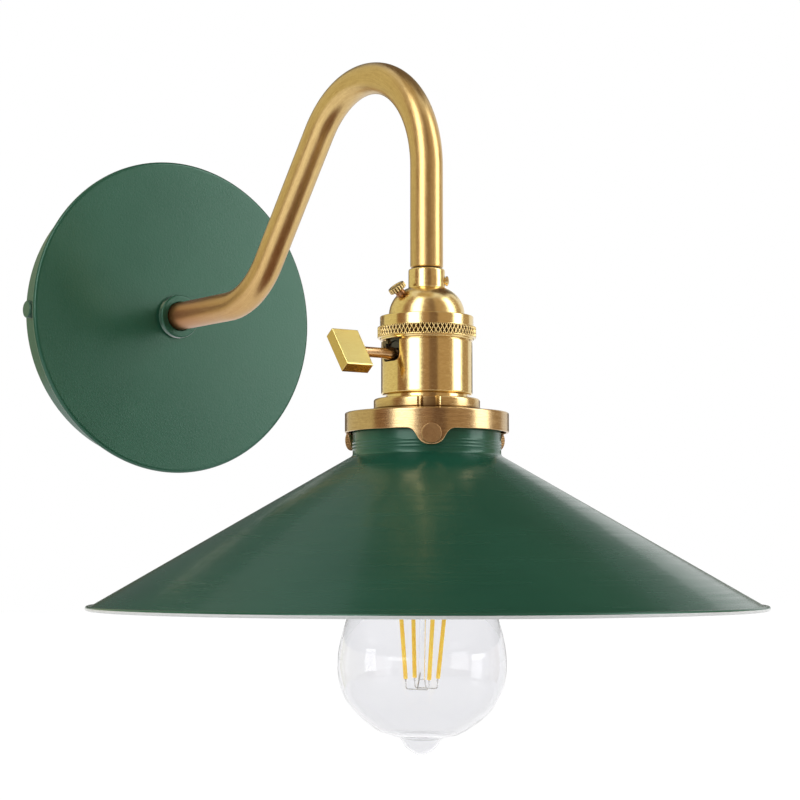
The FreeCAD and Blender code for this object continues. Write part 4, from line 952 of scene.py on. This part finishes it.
# Light-emitting rods
# Four thin ceramic rods under an orange-yellow phosphor coat, and a bare metal tab at each end. The coat
# is given a faint painted glow, though the lamp is not lit. They stand round the stem and lean in towards
# their feet.
# The coat's faint emission is a painted glow; the lamp is not lit.
phosphor, shader = finish(
    "phosphor", (1.0, 0.66, 0.05), roughness=0.45,
    Emission_Color=(1.0, 0.6, 0.04, 1), Emission_Strength=0.3,
)
drift(phosphor, shader, grain(phosphor, 2.5, 3), (0.98, 0.58, 0.03), (1.0, 0.74, 0.10))
raised(phosphor, shader, (grain(phosphor, 0.6, 2), 0.05))
rod_length, rod_radius, tab_radius, coated = 38.0, 0.8, 0.42, 36.7
rod = rounded([
    (0, 0), (tab_radius, 0, 0.1), (tab_radius, 1.1), (rod_radius, 1.3, 0.3), (rod_radius, coated, 0.3),
    (tab_radius, coated + 0.2), (tab_radius, rod_length, 0.1), (0, rod_length),
], closed=False)
bare = (np.arange(len(rod) - 1) < np.argmax(rod[:, 0] > 0.6 * MM)) | (rod[1:, 1] > (coated + 0.25) * MM)
foot_spread, top_spread, top_height = 6.5, 10.2, glass_top - 55.0
rise = math.sqrt(rod_length**2 - (top_spread - foot_spread) ** 2)
skins = []
for quarter in range(4):
    way = bearing(12.0 + 90 * quarter)
    foot = way * foot_spread + np.array([0, 0, top_height - rise])
    top = way * top_spread + np.array([0, 0, top_height])
    skins.append((hung(pointed(lathe(rod, 24), foot, top - foot)), False, bare.astype(int), False))
make("glow_rods", skins, "lamp", [phosphor, nickel], ["led_filaments"])

# Studio
# A pale floor well below the light, and a white surround that lights softly at a third of what the camera
# sees. Two tall soft lamps, at the front left and the right, add to it. Glowing, brown and gold cards that
# only reflections see give the brass its bands, and a brown veil over the shade keeps its green out.
eye = Vector((-0.449396, -0.822816, -0.111374))
yaw, pitch_up = math.radians(35.602), math.radians(4.574)
camera = put("camera", bpy.data.cameras.new("camera"))
camera.location = eye
camera.rotation_euler = (math.pi / 2 + pitch_up, 0, -yaw)
camera.data.sensor_width, camera.data.lens = 36.0, 90.354
camera.data.clip_start, camera.data.clip_end = 0.01, 50
bpy.context.scene.camera = camera
bpy.context.scene.view_settings.view_transform = "Standard"

world = bpy.data.worlds.new("surround")
bpy.context.scene.world = world
world.use_nodes = True


def seen_plainly(tree):
    """1 for a ray from the camera, off gloss or through glass, and 0 for the others."""
    rays = tree.nodes.new("ShaderNodeLightPath").outputs
    seen = reckon(tree, "MAXIMUM", rays["Is Camera Ray"], rays["Is Glossy Ray"])
    return reckon(tree, "MAXIMUM", seen, rays["Is Transmission Ray"])


soft_share = 0.33
tree = world.node_tree
level = reckon(tree, "MULTIPLY_ADD", seen_plainly(tree), 1 - soft_share, soft_share)
tree.links.new(level, tree.nodes["Background"].inputs["Strength"])
tree.nodes["Background"].inputs["Color"].default_value = (1, 1, 1, 1)

floor_pale, shader = finish("floor_pale", (0.8, 0.8, 0.8), roughness=0.95)
drift(floor_pale, shader, grain(floor_pale, 300, 2), (0.79, 0.79, 0.79), (0.81, 0.81, 0.81))
tree = floor_pale.node_tree
glow = tree.nodes.new("ShaderNodeEmission")
floor_glow = 0.73
wire(floor_pale, reckon(tree, "MULTIPLY", seen_plainly(tree), floor_glow), glow.inputs["Strength"])
both = tree.nodes.new("ShaderNodeAddShader")
wire(floor_pale, shader.outputs[0], both.inputs[0])
wire(floor_pale, glow.outputs[0], both.inputs[1])


def one_sided(made, front):
    """Shows a shader on the front of the faces only; from behind they are clear."""
    nodes_used = made.node_tree.nodes
    side_seen = nodes_used.new("ShaderNodeNewGeometry")
    clear = nodes_used.new("ShaderNodeBsdfTransparent")
    sided = nodes_used.new("ShaderNodeMixShader")
    wire(made, side_seen.outputs["Backfacing"], sided.inputs[0])
    wire(made, front, sided.inputs[1])
    wire(made, clear.outputs[0], sided.inputs[2])
    wire(made, sided.outputs[0], nodes_used["Material Output"].inputs["Surface"])


one_sided(floor_pale, both.outputs[0])
floor_half, floor_height = 20, -0.7
corners = ((-1, -1), (1, -1), (1, 1), (-1, 1))
floor_corners = [(x * floor_half, y * floor_half, floor_height) for x, y in corners]
floor = put("floor", mesh_from("floor", floor_corners, [(0, 1, 2, 3)], [floor_pale]))

centre = Vector((0, -socket_out * MM, -0.04))
towards_camera = Vector((eye.x - centre.x, eye.y - centre.y, 0)).normalized()
to_the_right = Vector((math.cos(yaw), -math.sin(yaw), 0))


def round_about(angle, distance, height):
    """Place round the lampholder, turned from the camera towards its right by degrees."""
    a = math.radians(angle)
    level_way = towards_camera * math.cos(a) + to_the_right * math.sin(a)
    return centre + level_way * distance + Vector((0, 0, height))


def soft_lamp(name, angle, distance, height, width, tall, brightness):
    """Area lamp that faces the lampholder and that gloss doesn't show. Power: brightness * pi * area."""
    data = bpy.data.lights.new(name, "AREA")
    data.shape, data.size, data.size_y = "RECTANGLE", width, tall
    data.energy = brightness * math.pi * width * tall
    lamp = put(name, data)
    lamp.location = round_about(angle, distance, height)
    lamp.rotation_euler = (centre - lamp.location).to_track_quat("-Z", "Y").to_euler()
    lamp.visible_glossy = False


soft_lamp("lamp_front", -56, 1.7, 0.5, 0.9, 2.2, 2.4)
soft_lamp("lamp_right", 79, 1.5, 0.4, 0.55, 2.0, 3.8)


def reflector(name, points, faces, colour):
    """Glowing sheet that only reflections see. Returns its material and shader."""
    light = {"Emission_Color": (*colour, 1), "Emission_Strength": 1.0}
    made, shader = finish(name, (0, 0, 0), roughness=1.0, **light)
    pane = put(name, mesh_from(name, points, faces, [made]))
    for ray in ("camera", "diffuse", "transmission", "shadow", "volume_scatter"):
        setattr(pane, "visible_" + ray, False)
    return made, shader


def card(name, first, last, low, high, colour, distance=2.2):
    """Upright reflector round the lampholder from one angle to another: a strip of a cylinder."""
    angles = np.linspace(first, last, 9)
    points = [round_about(a, distance, z) for a in angles for z in (low, high)]
    faces = [(2 * k, 2 * k + 1, 2 * k + 3, 2 * k + 2) for k in range(len(angles) - 1)]
    reflector(name, points, faces, colour)


card("glow_front", -46, -18, 0.06, 3.0, (4.6, 4.6, 4.5), 1.62)
card("glow_right", 70, 94, 0.06, 2.6, (4.6, 4.6, 4.5), 2.1)
card("brown_front", -12, 6, -1.6, 4.0, (0.42, 0.28, 0.19))
card("dark_front", 6, 27, -1.6, 4.0, (0.22, 0.14, 0.10))
card("tan_front", 27, 66, -1.6, 4.0, (0.52, 0.38, 0.25))
card("brown_left", -79, -52, -1.6, 4.0, (0.32, 0.18, 0.10))
card("gold_left", -146, -79, -1.6, 4.0, (0.78, 0.74, 0.48))
card("brown_right", 100, 128, -1.6, 2.2, (0.50, 0.38, 0.25))
card("dark_back_right", 154, 180, 0.03, 0.25, (0.10, 0.07, 0.045))
card("dark_back_left", -180, -150, 0.03, 0.25, (0.10, 0.07, 0.045))
card("grey_back_left", -180, -146, 0.25, 1.75, (0.13, 0.13, 0.13))
card("grey_high_left", -176, -146, 1.75, 4.0, (0.42, 0.42, 0.41))
card("grey_back_right", 150, 180, 1.0, 2.6, (0.22, 0.22, 0.21))


def canopy(name, near, far, left, right, height, colour):
    """Level reflector overhead, from near to far away from the camera and from left to right."""
    corners = ((near, left), (near, right), (far, right), (far, left))
    above = centre + Vector((0, 0, height))
    points = [above - towards_camera * away + to_the_right * aside for away, aside in corners]
    reflector(name, points, [(0, 3, 2, 1)], colour)


canopy("brown_overhead", 0.15, 2.5, -0.33, 1.2, 1.75, (0.11, 0.06, 0.035))
canopy("gold_overhead", -1.6, 0.15, -1.2, 0.8, 3.4, (0.55, 0.42, 0.22))

# The veil is a painted reflection: a brown sheet that only reflections see, just over the shade, so the
# brass shows brown where it would mirror the shade's green.
veil_lift, columns = 0.6, 96
across = np.linspace(neck + 8, rim_line - 1, 8)
veil_line = np.stack([across, shoulder - slope * (across - neck) + veil_lift], -1) * MM
veil_skin = on_axis(lathe(veil_line, columns)).reshape(-1, 3)
veil_faces = skin_faces(columns, len(veil_line), False)[:, ::-1]
veil, shader = reflector("brown_veil", veil_skin.tolist(), veil_faces.tolist(), (0.20, 0.07, 0.035))
one_sided(veil, shader.outputs[0])
